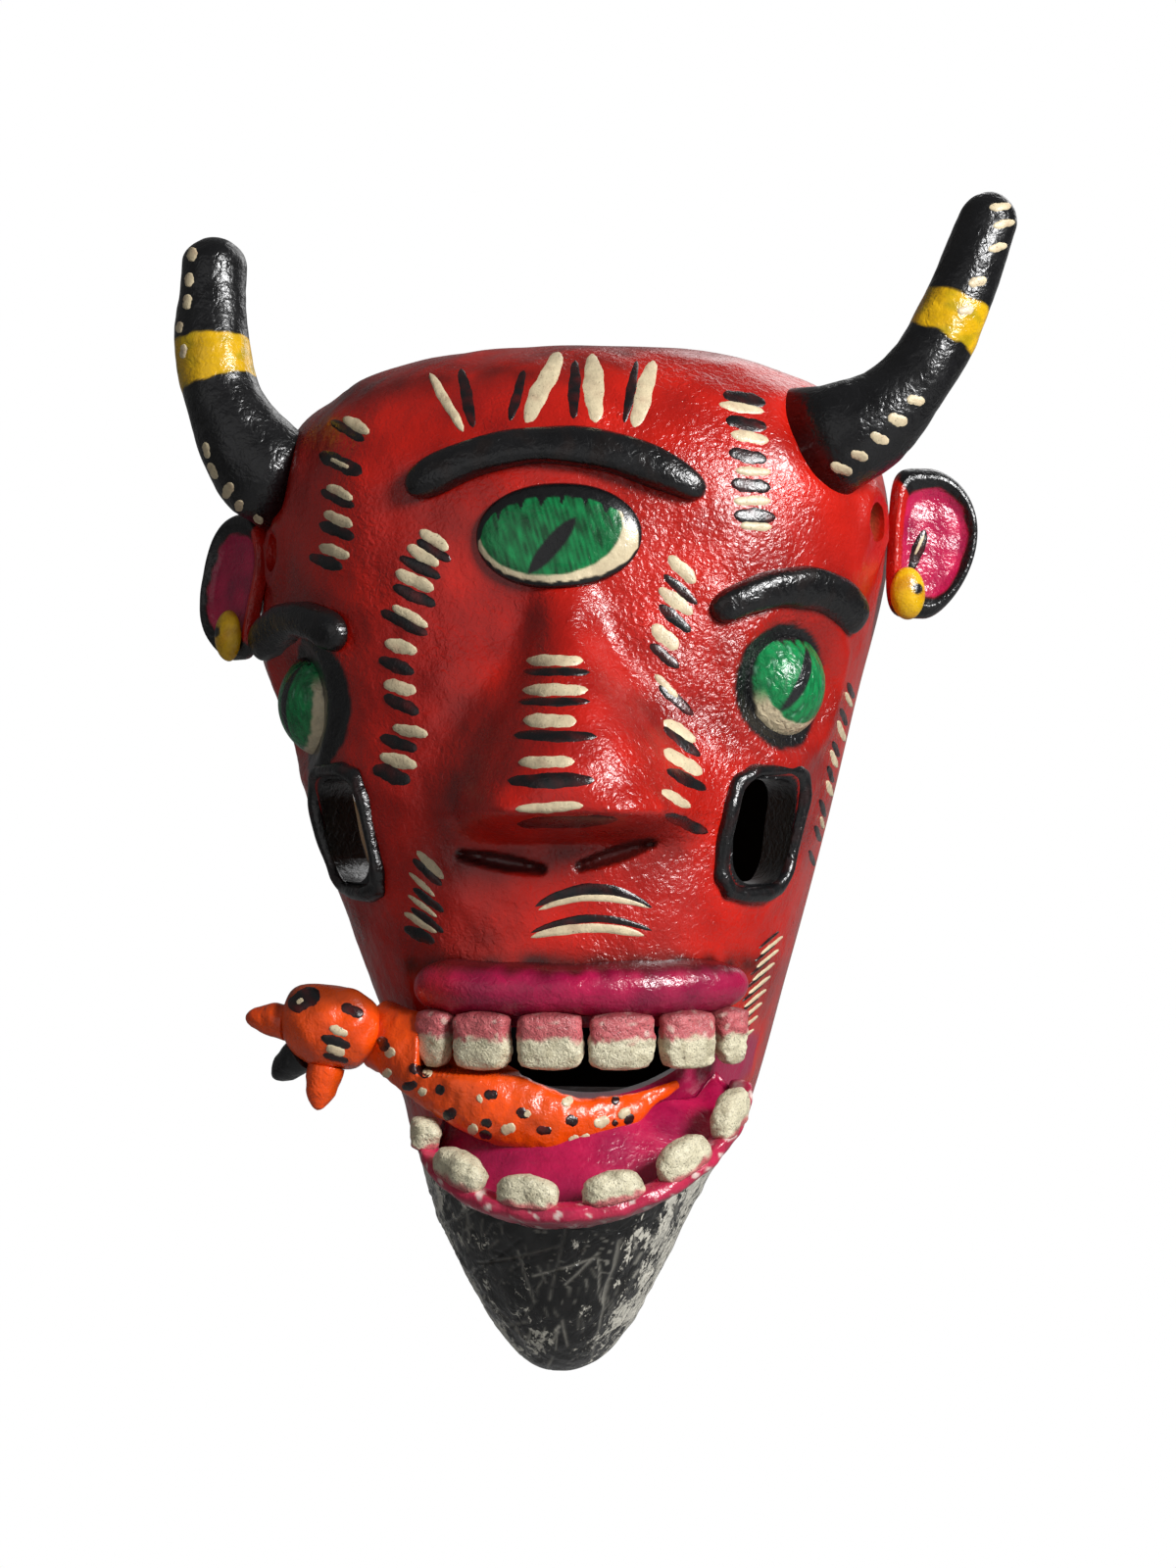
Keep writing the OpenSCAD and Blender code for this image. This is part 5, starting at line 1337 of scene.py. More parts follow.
@dataclass
class SideEye:
    """A turned ball, flat behind, painted as an eye."""
    name: str
    node: str
    turn: float
    z: float
    slant: float
    lid_turn: float
    crescent: float = 0.0
    gaze: float = 0.0
    diameter: float = 34.0
    reach: float = 10.0
    seat: float = 3.0

    def build(self) -> Object:
        """Make and paint the ball.

        Returns:
            The eye.
        """
        right, out = heading(self.turn)
        foot = FORM.skin(self.turn, self.z) - out * self.seat
        r, rise = self.diameter / 2, self.seat + self.reach
        cap = (r * r + rise * rise) / (2 * rise)
        a = around(96)
        rings = [ellipse(foot + out * 0.3, (right, UP), a, r * k, r * k) for k in (0.02, 0.5, 0.98)]
        marks = [np.full((len(a), 2), r)] * len(rings)
        for t in np.linspace(asin(min(1.0, r / cap)), 0.015, 64):
            rr, h = cap * sin(t), rise - cap + cap * cos(t)
            if h < 0.35:
                continue
            rings.append(ellipse(foot + out * h, (right, UP), a, rr, rr))
            marks.append(np.stack([rr * np.cos(a), rr * np.sin(a)], -1))
        shape = lofted(np.array(rings))
        marks = np.vstack([np.array(marks).reshape(-1, 2), [[r, r], [0, 0]]])
        return make_piece(self.name, shape, EYE_ENAMEL, self.dress(shape[0], marks),
                          nodes=(self.node,))

    def dress(self, verts: Array, marks: Array) -> Array:
        """Green iris with a cream crescent on the lid's side, a slit and lashes.

        Args:
            verts: places in mm.
            marks: their places across and up the ball.

        Returns:
            The colours.
        """
        x, v = marks.T
        streak = ripple(np.stack([x * 1.7, v * 0.5, np.zeros_like(v)], -1), 3.0, 73)
        colours = blend_colour(flat_colour(len(verts), GREEN), "#035A30", 0.4 + 0.5 * streak)
        colours = blend_colour(colours, "#7FCBA0", 0.5 * ease(0.9, 1.4, streak))
        wob = 0.3 * ripple(verts, 4, 74)
        b = radians(self.lid_turn)
        shift = np.hypot(x + self.crescent * cos(b), v + self.crescent * sin(b))
        beside = (x * cos(b) + v * sin(b)) / (self.diameter / 2)
        colours = blend_colour(colours, CREAM,
                               ease(13.9, 14.5, shift + wob) * ease(-0.1, 0.3, beside))
        edge = ease(15.6, 16.2, np.hypot(x, v) + wob * 0.5)
        colours = blend_colour(colours, BLACK, edge * ease(0.45, 0.3, beside))
        colours = blend_colour(colours, "#1B1C1E",
                               slit_share(x - self.gaze, v, self.slant, 1.9, 11.5, 1))
        lash = 12.2 - 1.6 * np.maximum(0, np.sin(x * 1.6)) ** 2
        return blend_colour(colours, BLACK, ease(lash, lash + 0.5, v + wob) * (np.abs(x) < 9))


@dataclass
class PeepholeRim:
    """The raised black frame round a peephole."""
    name: str
    node: str
    turn: float
    z: float = -91.0
    inner: tuple[float, float] = (28.2, 32.6)
    breadth: float = 4.4
    reach: float = 3.0
    seed: int = 81

    def build(self) -> Object:
        """Make and paint the frame.

        Returns:
            The frame.
        """
        n = 120

        def edge(a: float, grow: float) -> Array:
            """A point of a squared ellipse, as much wider than the opening as grow."""
            c, s = cos(a), sin(a)
            return np.array([(self.inner[0] + grow) / 2 * copysign(abs(c) ** 0.55, c),
                             (self.inner[1] + grow) / 2 * copysign(abs(s) ** 0.55, s)])

        rings = []
        for a in around(n) + pi / n:
            wide = self.breadth * (1 + 0.12 * sin(3 * a + self.seed)
                                   + 0.06 * sin(11 * a + self.seed))
            inside, outside = edge(a, 0), edge(a, 2 * wide)
            run = outside - inside
            rings.append(section(self.turn, self.z, (inside + outside) / 2, unit(run),
                                 float(norm(run)) / 2,
                                 self.reach * (1 + 0.1 * sin(7 * a + self.seed)), steps=10))
        verts = np.vstack(rings)
        faces = turned_out(verts, grid_faces(n, len(rings[0]), tube=True))
        return make_piece(self.name, (verts, faces), BLACK_ENAMEL,
                          mottled(verts, BLACK, "#3A1210", 0.3, 6, self.seed), nodes=(self.node,))


# ---- mouth

def squared(a: Array, power: float) -> tuple[Array, Array]:
    """Cosine and sine of a, squared off."""
    c, s = np.cos(a), np.sin(a)
    return np.sign(c) * np.abs(c) ** power, np.sign(s) * np.abs(s) ** power


@dataclass
class UpperTeeth:
    """The six teeth under the lip."""
    mouth_x: float = 10.5
    lip_z: float = -136.0
    top_z: float = -141.0
    off: float = 6.0
    widths: tuple[float, ...] = (11.0, 16.6, 18.4, 18.4, 16.6, 11.0)
    length: float = 17.0
    thick: float = 8.5
    gap: float = 1.0
    # share of the way down a tooth, and its breadth there
    PROFILE = ((0, 0.06, 0.14, 0.5, 0.7, 0.84, 0.93, 0.98, 1),
               (0.3, 0.88, 0.98, 1.02, 1.02, 0.97, 0.86, 0.62, 0.2))

    def build(self) -> list[Object]:
        """Make and paint the teeth.

        Returns:
            The teeth.
        """
        mouth_turn = FORM.turn_at_x(self.mouth_x, self.lip_z)
        made, start = [], -(sum(self.widths) + (len(self.widths) - 1) * self.gap) / 2
        for i, w in enumerate(self.widths):
            made.append(self.tooth(i, w, float(FORM.walk(mouth_turn, self.lip_z, start + w / 2))))
            start += w + self.gap
        return made

    def tooth(self, i: int, width: float, turn: float) -> Object:
        """One tooth.

        Args:
            i: its number from the left, from 0.
            width: its width.
            turn: where it stands.

        Returns:
            The tooth.
        """
        rng = np.random.default_rng(100 + i)
        right, out = heading(turn)
        top = FORM.skin(turn, self.top_z, self.off) - 0.9 * UP
        c, s = squared(around(56), 0.62)
        length, skew = self.length * rng.uniform(0.96, 1.0), rng.uniform(-0.06, 0.06)
        corner = i in (0, len(self.widths) - 1)
        rings, steps = [], np.linspace(0, 1, 46)
        for t in steps:
            k = np.interp(t, *self.PROFILE) * (1 - 0.3 * t if corner else 1)
            belly = 1 + 0.12 * sin(pi * min(1, t * 1.2))
            x = width / 2 * k * c * (1.12 if corner else 1.03) + skew * t * width
            y = self.thick / 2 * (1 + 0.8 * (k - 1)) * s * belly
            rings.append(top + x[:, None] * right + y[:, None] * out - length * t * UP)
        rings = np.array(rings)
        shape = lofted(swollen(rings, 0.32 * ripple(rings, 6, 110 + i)
                               + 0.16 * ripple(rings, 2.6, 120 + i) - 0.2))
        down = np.append(np.repeat(steps, len(c)), [0, 1])
        return make_piece(f"upper_tooth_carved_{i + 1}", shape, TOOTH_PAINT,
                          self.dress(shape[0], down, i), nodes=(f"upper_tooth_{i + 1}",))

    def dress(self, verts: Array, down: Array, i: int) -> Array:
        """Cream tooth paint below a ragged pink gum, with painted shade at the top under the lip.

        Args:
            verts: places in mm.
            down: their share of the way down the tooth.
            i: the tooth's number.

        Returns:
            The colours.
        """
        colours = mottled(verts, TOOTH, "#A59A78", 0.45, 5, 130 + i)
        ragged = down + 0.05 * ripple(verts, 5, 140 + i) + 0.04 * ripple(verts, 2, 150 + i)
        gum = ease(0.52, 0.4, ragged)
        colours = blend_colour(colours, GUM, 0.85 * gum)
        worn = ease(0.6, 1.2, ripple(verts, 3.5, 160 + i))
        colours = blend_colour(colours, "#E8D9C8", 0.5 * gum * worn)
        # painted shade: the tooth darkens at its top, under the lip
        return blend_colour(colours, "#5B1420", 0.6 * ease(0.14, 0.02, down))


@dataclass
class LowerJaw:
    """The jutting gum with its floor and the six lumps of teeth."""
    mouth_x: float = 10.5
    reach: float = 37.0
    end_reach: float = 17.0
    half_turn: float = 42.0
    gum_w: float = 10.0
    gum_h: float = 6.0
    gum_front_z: float = -193.0
    climb: float = 22.0
    tilt: float = 7.0
    floor_z: float = -169.0
    places: tuple[float, ...] = (-0.96, -0.65, -0.275, 0.125, 0.475, 0.8)
    shares: tuple[float, ...] = (0.62, 1.05, 1.0, 0.94, 1.05, 1.0)
    tooth_in: float = 3.5
    tooth_w: float = 18.0
    tooth_h: float = 10.0
    tooth_t: float = 8.5
    # share of the way up a tooth, and its breadth there
    PROFILE = ((0, 0.08, 0.3, 0.55, 0.75, 0.88, 0.96, 1),
               (0.9, 0.99, 1.02, 0.98, 0.86, 0.66, 0.38, 0.08))

    def turn(self, s: float) -> float:
        """The turn at share s along the jaw."""
        return FORM.turn_at_x(self.mouth_x, FORM.chin_z) * 0.8 + s * self.half_turn

    def out(self, s: float) -> float:
        """How far the jaw stands out at s."""
        return self.end_reach + (self.reach - self.end_reach) * max(0.0, 1 - abs(s) ** 1.6) ** 0.75

    def gum_z(self, s: float) -> float:
        """Height of the gum's top at s."""
        return self.gum_front_z + self.climb * s * s + self.tilt * s

    def base(self, s: float) -> Array:
        """The place on the face that the jaw stands out from at s."""
        root = self.gum_z(s) - 11 + 2 * s * s
        return FORM.skin(self.turn(s), (root + self.floor_z) / 2, 0.3)

    def outline(self, s: float) -> Array:
        """The jaw's cross-section at s, smoothed."""
        o, g = self.out(s), self.gum_z(s)
        root, top = g - 11 + 2 * s * s, max(self.floor_z, g + 2)
        foot = max(o - self.gum_w, o * 0.2)
        way, base = heading(self.turn(s))[1], self.base(s)
        back = [FORM.skin(self.turn(s), root + (top - root) * k / 4, 0.3) for k in range(5)]
        rest = [np.array([base[0], base[1], z]) + dist * way for dist, z in (
            (foot * 0.45, top + (g - self.gum_h - top) * 0.28),
            (foot, g - self.gum_h * min(1, o / self.reach)),
            (o - self.gum_w * 0.8, g), (o - self.gum_w * 0.2, g), (o, g - 1.5),
            (o - 1.5, g - 5), (o * 0.55, root + (g - 5 - root) * 0.35))]
        return np.vstack([back[:-1], catmull(np.array([back[-1], *rest, back[0]]), 6)[:-1]])

    def build(self) -> Object:
        """Make and paint the jaw.

        Returns:
            The jaw.
        """
        ss = np.linspace(-1, 1, 161)
        plain = np.array([self.outline(s) for s in ss])
        lump = 0.35 * ripple(plain, 9, 171) + 0.15 * ripple(plain, 4, 172)
        lump[:, :5] = lump[:, -1] = 0
        rings = swollen(plain, lump - 0.1)
        rings[:, 1:4] = plain[:, 1:4]
        shape = lofted(rings)
        cols = rings.shape[1]
        return make_piece("lower_jaw_carving", shape, PINK_ENAMEL,
                          self.dress(shape[0], np.append(np.tile(np.arange(cols), len(ss)), [0, 0]),
                                     np.append(np.repeat(ss, cols), [-1, 1])), 0.8,
                          nodes=("lower_jaw",))

    def dress(self, verts: Array, k: Array, s: Array) -> Array:
        """Magenta floor, red-pink gum with white chips, gesso worn through on the ridge, and painted
        shade low on the gum's front.

        Args:
            verts: places in mm.
            k: their number round the section, from the face over the floor to the front.
            s: their share along the jaw.

        Returns:
            The colours.
        """
        gum, z = self.gum_z(s), verts[:, 2]
        colours = blend_colour(flat_colour(len(verts), MAGENTA), PINK,
                               0.35 + 0.4 * ripple(verts, 18, 173))
        outside = ease(24, 27, k)
        colours = blend_colour(colours, GUM, outside * (0.8 + 0.2 * ripple(verts, 8, 174)))
        chips = outside * ease(0.6, 1.0, ripple(verts, 5, 175) + 0.35 * ripple(verts, 2, 176))
        colours = blend_colour(colours, "#E6D6CC", 0.8 * chips)
        ridge = np.exp(-((k - 21) / 3.2) ** 2) * (z > gum - 3)
        colours = blend_colour(colours, GESSO, 0.75 * ridge * ease(-0.6, 0.6, ripple(verts, 9, 177)))
        # painted shade: the gum's front darkens towards its underside
        return blend_colour(colours, "#6A0C26", 0.4 * ease(gum - 7, gum - 10, z) * outside)

    def build_teeth(self) -> list[Object]:
        """Make and paint the lumps of teeth.

        Returns:
            The teeth.
        """
        made = []
        for i, s in enumerate(self.places):
            along = unit(self.ridge(s + 0.02) - self.ridge(s - 0.02))
            up = unit(UP - along[2] * along)
            side = np.cross(up, along)
            rng = np.random.default_rng(200 + i)
            w = self.tooth_w * self.shares[i] * rng.uniform(0.98, 1.04)
            tall = self.tooth_h * (0.7 if i == 0 else rng.uniform(0.76, 0.88))
            c, sn = squared(around(64), 0.78)
            rings = []
            for t in np.linspace(0, 1, 34):
                k = float(np.interp(t, *self.PROFILE))
                rings.append(self.ridge(s) + (w / 2 * k * c)[:, None] * along
                             + (self.tooth_t / 2 * (1 + 0.7 * (k - 1)) * sn * 1.05)[:, None] * side
                             + up * (-0.8 + (tall + 0.6) * t))
            rings = np.array(rings)
            verts, faces = lofted(swollen(rings, 0.5 * ripple(rings, 8, 210 + i)
                                          + 0.2 * ripple(rings, 3, 220 + i) - 0.2))
            low = (verts - self.ridge(s)) @ up + 0.7 * ripple(verts, 4, 240)
            colours = mottled(verts, TOOTH, "#A2977A", 0.5, 5, 230 + i)
            made.append(make_piece(f"lower_tooth_carved_{i + 1}", (verts, faces), TOOTH_PAINT,
                                   blend_colour(colours, GUM, 0.8 * ease(1.6, 0.2, low)),
                                   nodes=(f"lower_tooth_{i + 1}",)))
        return made

    def ridge(self, s: float) -> Array:
        """A point of the ridge's middle, where the teeth stand."""
        x, y, _ = self.base(s)
        return (np.array([x, y, self.gum_z(s)])
                + (self.out(s) - self.tooth_in) * heading(self.turn(s))[1])


def catmull(points: Array, steps: int) -> Array:
    """A smooth line through points.

    Args:
        points: the places.
        steps: steps between two of them.

    Returns:
        The finer line, first and last point included.
    """
    p = np.vstack([points[:1], points, points[-1:]])
    out = []
    for i in range(len(points) - 1):
        a, b, c, d = p[i:i + 4]
        for k in range(steps):
            t = k / steps
            out.append(0.5 * (2 * b + (c - a) * t + (2 * a - 5 * b + 4 * c - d) * t * t
                              + (3 * b - a - 3 * c + d) * t ** 3))
    out.append(points[-1])
    return np.array(out)


# ---- beard

@dataclass
class Beard:
    """The scraped black chin block."""
    back: float = 28.0
    rows: int = 170
    columns: int = 150
    flat_columns: int = 30

    def build(self) -> Object:
        """Make and paint the beard.

        Returns:
            The beard.
        """
        body = np.linspace(FORM.chin_z - 0.1, FORM.tip_z + FORM.tip_round, self.rows)
        a = np.radians(np.linspace(4, 86, 46))
        tip = FORM.tip_z + FORM.tip_round * (1 - np.sin(a) ** (2 / FORM.tip_power))
        rings = []
        for z in np.concatenate([body, tip]):
            width, depth, lean = (float(FORM.level(z, k)) for k in (1, 2, 3))
            cap = float(FORM.tip_cap(z))
            end = degrees(asin((1 - (self.back / depth) ** FORM.squareness)
                               ** (1 / FORM.squareness)))
            turn = np.linspace(-end, end, self.columns)
            x = width * np.sin(np.radians(turn)) * cap + lean
            y = -self.back + (-depth * FORM.plan_depth(turn) + self.back) * cap
            front = np.stack([x, y, np.full(len(x), z)], -1)
            k = np.linspace(0, 1, self.flat_columns + 2)[1:-1, None]
            rings.append(np.vstack([front, front[-1] + (front[0] - front[-1]) * k]))
        rings = np.array(rings)
        rng = np.random.default_rng(301)
        cut = 0.35 * ripple(rings, 14, 302) + 0.2 * ripple(rings, 5, 303)
        white = np.zeros(rings.shape[:2])
        front = rings[..., 1] < -self.back - 2
        # knife lines cut through the paint, a few deep enough to show the gesso
        for _ in range(90):
            z0, x0 = rng.uniform(FORM.tip_z + 8, FORM.chin_z - 6), rng.uniform(-46, 46)
            run = rng.uniform(8, 30)
            way = rng.choice([rng.uniform(-0.35, 0.35), rng.uniform(0.7, 1.5),
                              rng.uniform(-1.4, -0.8)])
            d = self.from_line(rings, x0, z0, run, way)
            mark = np.exp(-(d / rng.uniform(0.3, 0.5)) ** 2) * front
            cut = cut - mark * rng.uniform(0.2, 0.6)
            white = np.maximum(white, mark * rng.choice([0, 0, 0, 0.12, 0.3]))
        # short scratches, which show the gesso more towards the sides and the tip
        for _ in range(150):
            z0, x0 = rng.uniform(FORM.tip_z + 5, FORM.chin_z - 5), rng.uniform(-50, 46)
            way, run = rng.uniform(-0.9, 0.5), rng.uniform(1.5, 6)
            d = self.from_line(rings, x0, z0, run, way)
            side = 0.4 + 0.6 * (abs(x0 + 3) > 22) + 0.6 * (z0 < -235)
            white = np.maximum(white, np.exp(-(d / rng.uniform(0.25, 0.5)) ** 2) * front
                               * min(0.6, side * rng.uniform(0.1, 0.5)))
        away = unit((rings - rings.mean(1, keepdims=True)) * np.array([1, 1, 0.001]))
        shape = lofted(rings + away * (cut - 0.35)[..., None])
        colours, worn = self.dress(shape[0], np.append(white.ravel(), [0, 0]))
        return make_piece("beard_block", shape, SCRAPED_BLACK, colours, worn, nodes=("beard",))

    def from_line(self, p: Array, x: float, z: float, run: float, way: float) -> Array:
        """Distance of places from a line on the front, run mm long, way radians off downward."""
        ends = (x, z, x + run * sin(way), z - run * cos(way))
        return near_line(p[..., 0], p[..., 2], ends)[0]

    def dress(self, verts: Array, white: Array) -> tuple[Array, Array]:
        """Black paint, scratched to the gesso and worn at the sides and the tip.

        Args:
            verts: places in mm.
            white: how far the knife has bared the gesso.

        Returns:
            The colours, and how far the paint is worn.
        """
        x, _, z = verts.T
        colours = mottled(verts, "#0B0B0A", "#2E2D2B", 0.3, 7, 304)
        speck = ease(1.0, 1.5, ripple(verts, 2.6, 305) + 0.4 * ripple(verts, 11, 306))
        colours = blend_colour(colours, GESSO, np.maximum(white, 0.2 * speck))
        half = np.maximum(FORM.level(z, 1) * FORM.tip_cap(z), 4)
        worn = (0.3 + 0.55 * ease(0.45, 0.95, np.abs(x - FORM.level(z, 3)) / half)
                + 0.22 * ease(-222, -245, z) + 0.22 * ripple(verts, 13, 307)
                + 0.15 * ease(-205, -196, z))
        return colours, worn.clip(0.1, 1.0)


# ---- feline

@dataclass
class Feline:
    """The spotted feline lying in the mouth."""
    mouth_x: float = 10.5
    mouth_z: float = -167.5
    thick: float = 24.0
    flat: float = 0.66
    head_l: float = 32.0
    head_w: float = 25.0
    nub_w: float = 11.0
    head_way: tuple[float, float, float] = (-1.0, 0.35, 0.05)
    notch_depth: float = 1.6
    notch_low: tuple[float, float] = (-160.4, -159.4)
    notch_left: tuple[float, float] = (-38.0, -36.6)
    notch_right: tuple[float, float] = (-7.4, -8.8)
    line: tuple[tuple[float, float, float, float], ...] = (
        (25.5, 10.5, 3, 0.09), (18, 3.5, 0, 0.27), (6.5, -2.5, -5, 0.49), (-7, -6, -6, 0.71),
        (-21, -7, -3.5, 0.89), (-33.5, -5.5, 2.5, 0.96), (-45, -1, 9, 0.96), (-53.5, 4, 14, 0.92),
        (-62.5, 11.5, 16.5, 0.87))
    # share of the way out along an ear or the muzzle, and its breadth there
    NUB = ((0, 0.3, 0.6, 0.82, 0.93, 0.98, 1), (1, 0.95, 0.77, 0.55, 0.36, 0.2, 0.05))

    def start(self) -> Array:
        """The middle of the mouth's lower edge, which the body is measured from."""
        turn = FORM.turn_at_x(self.mouth_x, -136.0)
        return np.array([self.mouth_x, float(FORM.bowl(turn, self.mouth_z)[1]), self.mouth_z])

    def spine(self) -> tuple[Array, Array]:
        """The body's middle line and its half thickness along it."""
        pts = np.array([row[:3] for row in self.line], float) + self.start()
        fine = catmull(pts, 24)
        r = catmull(np.array([[row[3], 0, 0] for row in self.line]), 24)[:, 0] * self.thick / 2
        return fine, r

    def build_body(self) -> Object:
        """Make and paint the body.

        Returns:
            The body.
        """
        spine, radius = self.spine()
        ways = [unit(spine[min(i + 1, len(spine) - 1)] - spine[max(i - 1, 0)])
                for i in range(len(spine))]
        rings = np.array([ellipse(c, square_to(way), around(88), r * self.flat, r)
                          for c, way, r in zip(spine, ways, radius)])
        rings = swollen(rings, 0.45 * ripple(rings, 14, 401) + 0.15 * ripple(rings, 5, 402) - 0.2)
        # the first two upper teeth stand in front of the body's upper part
        x, y, z = np.moveaxis(rings, -1, 0)
        behind = FORM.skin(FORM.turn_at_x(x, z), z, self.notch_depth)[..., 1]
        share = (ease(*self.notch_low, z) * ease(*self.notch_left, x) * ease(*self.notch_right, x))
        rings[..., 1] = np.maximum(y, y + (behind - y) * share)
        shape = lofted(rings)
        return make_piece("feline_body_carving", shape, ORANGE_ENAMEL, self.dress(shape[0]), 0.7,
                          nodes=("feline_body",))

    def dress(self, verts: Array) -> Array:
        """Orange paint with redder and thinner patches."""
        return blend_colour(mottled(verts, ORANGE, "#C43404", 0.4, 12, 403), "#7A3B12",
                            0.35 * ripple(verts, 22, 404).clip(0, 1))

    def head_middle(self) -> Array:
        """The middle of the head."""
        last = np.array(self.line[-1][:3]) + self.start()
        return last + np.array([-self.head_l * 0.42, -3, 2])

    def build_head(self) -> Object:
        """Make and paint the head.

        Returns:
            The head.
        """
        middle, way = self.head_middle(), unit(self.head_way)
        rings = []
        for k in np.radians(np.linspace(-86, 88, 70)):
            r = self.head_w / 2 * cos(k)
            rings.append(ellipse(middle + way * self.head_l / 2 * sin(k), square_to(way),
                                 around(72), r, r))
        rings = np.array(rings)
        flat = rings - middle
        # two brow bumps above, a drawn-in cheek below
        bump = (3.2 * mound(flat, (-9, -3, 9), 7) + 1.5 * mound(flat, (9, -5, 10), 6)
                - 1.0 * mound(flat, (4, -12, -6), 6) + 0.35 * ripple(rings, 9, 411) - 0.3)
        shape = lofted(rings + unit(flat) * bump[..., None])
        top = ease(4, 10, (shape[0] - middle)[:, 2] + 1.2 * ripple(shape[0], 8, 412))
        return make_piece("feline_head_carving", shape, ORANGE_ENAMEL,
                          blend_colour(self.dress(shape[0]), "#6B2A10", 0.75 * top), 0.7,
                          nodes=("feline_head",))

    def build_nub(self, name: str, node: str, way: Sequence[float], length: float,
                  finish: Finish = ORANGE_ENAMEL) -> Object:
        """Make an ear or the muzzle.

        Args:
            name: the piece's name.
            node: the frame node it stands for.
            way: its direction from the head.
            length: its length.
            finish: its finish.

        Returns:
            The piece.
        """
        way, head = unit(way), unit(self.head_way)
        c = float(way @ head)
        reach = 1 / hypot(2 * c / self.head_l, 2 * sqrt(1 - c * c) / self.head_w)
        foot = self.head_middle() + way * (reach - 1.2)
        rings = []
        for t in np.linspace(0, 1, 40):
            r = self.nub_w / 2 * float(np.interp(t, *self.NUB))
            rings.append(ellipse(foot + way * ((length + 1.6) * t), square_to(way), around(48),
                                 r, r))
        rings = np.array(rings)
        shape = lofted(swollen(rings, 0.3 * ripple(rings, 7, 421) - 0.15))
        colours = (self.dress(shape[0]) if finish is ORANGE_ENAMEL
                   else flat_colour(len(shape[0]), BLACK))
        return make_piece(name, shape, finish, colours, nodes=(node,))


# ---- stage

@dataclass
class Studio:
    """A white sweep, a black cloth of painted shade behind the openings and soft lamps, in mm and
    watts.
    """
    floor_z: float = -420.0
    wall_y: float = 1200.0
    size: float = 6000.0
    bend: float = 600.0
    shade_cloth_low_z: float = -176.0
    shade_cloth_high_z: float = 22.0
    shade_cloth_in: float = 9.0
    shade_cloth_y: float = 0.5
    # name, place in metres, side in metres and power
    lamps: tuple[tuple[str, tuple[float, float, float], float, float], ...] = (
        ("key_lamp", (0.95, -0.8, 0.5), 0.4, 24), ("fill_lamp", (-0.5, -1.3, 0.1), 1.2, 1.6),
        ("back_lamp", (0.4, 1.0, 0.7), 0.8, 3.5))

    def hang(self, name: str, material: str, shape: Shape, cloth: bool) -> None:
        """Hang one sheet.

        Args:
            name: its name.
            material: its material's name.
            shape: its vertices and faces.
            cloth: whether it is the black cloth of painted shade behind the openings, which only a
                camera in front sees, instead of matt paper that shows white to the camera.
        """
        mat = bpy.data.materials.new(material)
        tree = shader_tree(mat)
        rays = add_node(tree, "ShaderNodeLightPath").outputs
        if cloth:
            behind = add_node(tree, "ShaderNodeNewGeometry").outputs["Backfacing"]
            seen = add_node(tree, "ShaderNodeMath", {"operation": "SUBTRACT", "use_clamp": True},
                            {0: rays["Is Camera Ray"], 1: behind})
            lit = add_node(tree, "ShaderNodeBsdfTransparent")
            shown = add_node(tree, "ShaderNodeBsdfDiffuse", {"Color": (0.012, 0.012, 0.016, 1)})
        else:
            seen = add_node(tree, "ShaderNodeMath", {"operation": "MAXIMUM"},
                            {0: rays["Is Camera Ray"], 1: rays["Is Transmission Ray"]})
            lit = add_node(tree, "ShaderNodeBsdfDiffuse", {"Color": (0.3, 0.3, 0.3, 1)})
            shown = add_node(tree, "ShaderNodeEmission", {"Color": (1, 1, 1, 1), "Strength": 1.0})
        mix = add_node(tree, "ShaderNodeMixShader", None,
                       {0: seen.outputs[0], 1: lit.outputs[0], 2: shown.outputs[0]})
        add_node(tree, "ShaderNodeOutputMaterial", None, {"Surface": mix.outputs[0]})
        obj = mesh_object(name, shape)
        obj.data.materials.append(mat)

    def light(self) -> None:
        """Add the soft square lamps, which face the mask, and the world."""
        for name, place, size, power in self.lamps:
            data = bpy.data.lights.new(name, "AREA")
            data.energy, data.size = power, size
            obj = linked(name, data)
            obj.location = place
            way = Vector((0, -0.05, -0.06)) - Vector(place)
            obj.rotation_euler = way.to_track_quat("-Z", "Y").to_euler()
        world = bpy.data.worlds.new("studio")
        bpy.context.scene.world = world
        tree = shader_tree(world)
        rays = add_node(tree, "ShaderNodeLightPath").outputs
        sky = add_node(tree, "ShaderNodeBackground", {"Color": (1, 1, 1, 1)},
                       {"Strength": spread(tree, rays["Is Camera Ray"], 0.0, 1.0, 0.12, 1.0)})
        add_node(tree, "ShaderNodeOutputWorld", None, {"Surface": sky.outputs[0]})
        bpy.context.scene.view_settings.view_transform = "Standard"

    def build(self) -> None:
        """Add the sweep, the black cloth of painted shade, the lamps and the world."""
        s, z, y, bend = self.size / 2, self.floor_z, self.wall_y, self.bend
        rows = [(-s, z)] + [(y - bend + bend * sin(a), z + bend - bend * cos(a))
                            for a in np.linspace(0, pi / 2, 16)] + [(y, s)]
        verts = [(x, *row) for row in rows for x in (-s, s)]
        faces = [(2 * i, 2 * i + 1, 2 * i + 3, 2 * i + 2) for i in range(len(rows) - 1)]
        self.hang("studio_sweep", "studio_paper_white", (verts, faces), cloth=False)
        # painted shade: a black sheet behind the hollow, seen only by a camera in front, darkens the
        # openings
        rows = np.linspace(self.shade_cloth_low_z, self.shade_cloth_high_z, 34)
        half = FORM.level(rows, 1) - self.shade_cloth_in
        verts = [(x, self.shade_cloth_y, z) for x, z in (*zip(half, rows),
                                                   *zip(-half[::-1], rows[::-1]))]
        self.hang("studio_black_cloth", "studio_shade_cloth_black",
                  (verts, [tuple(range(len(verts)))]), cloth=True)
        self.light()


# ---- painted strokes

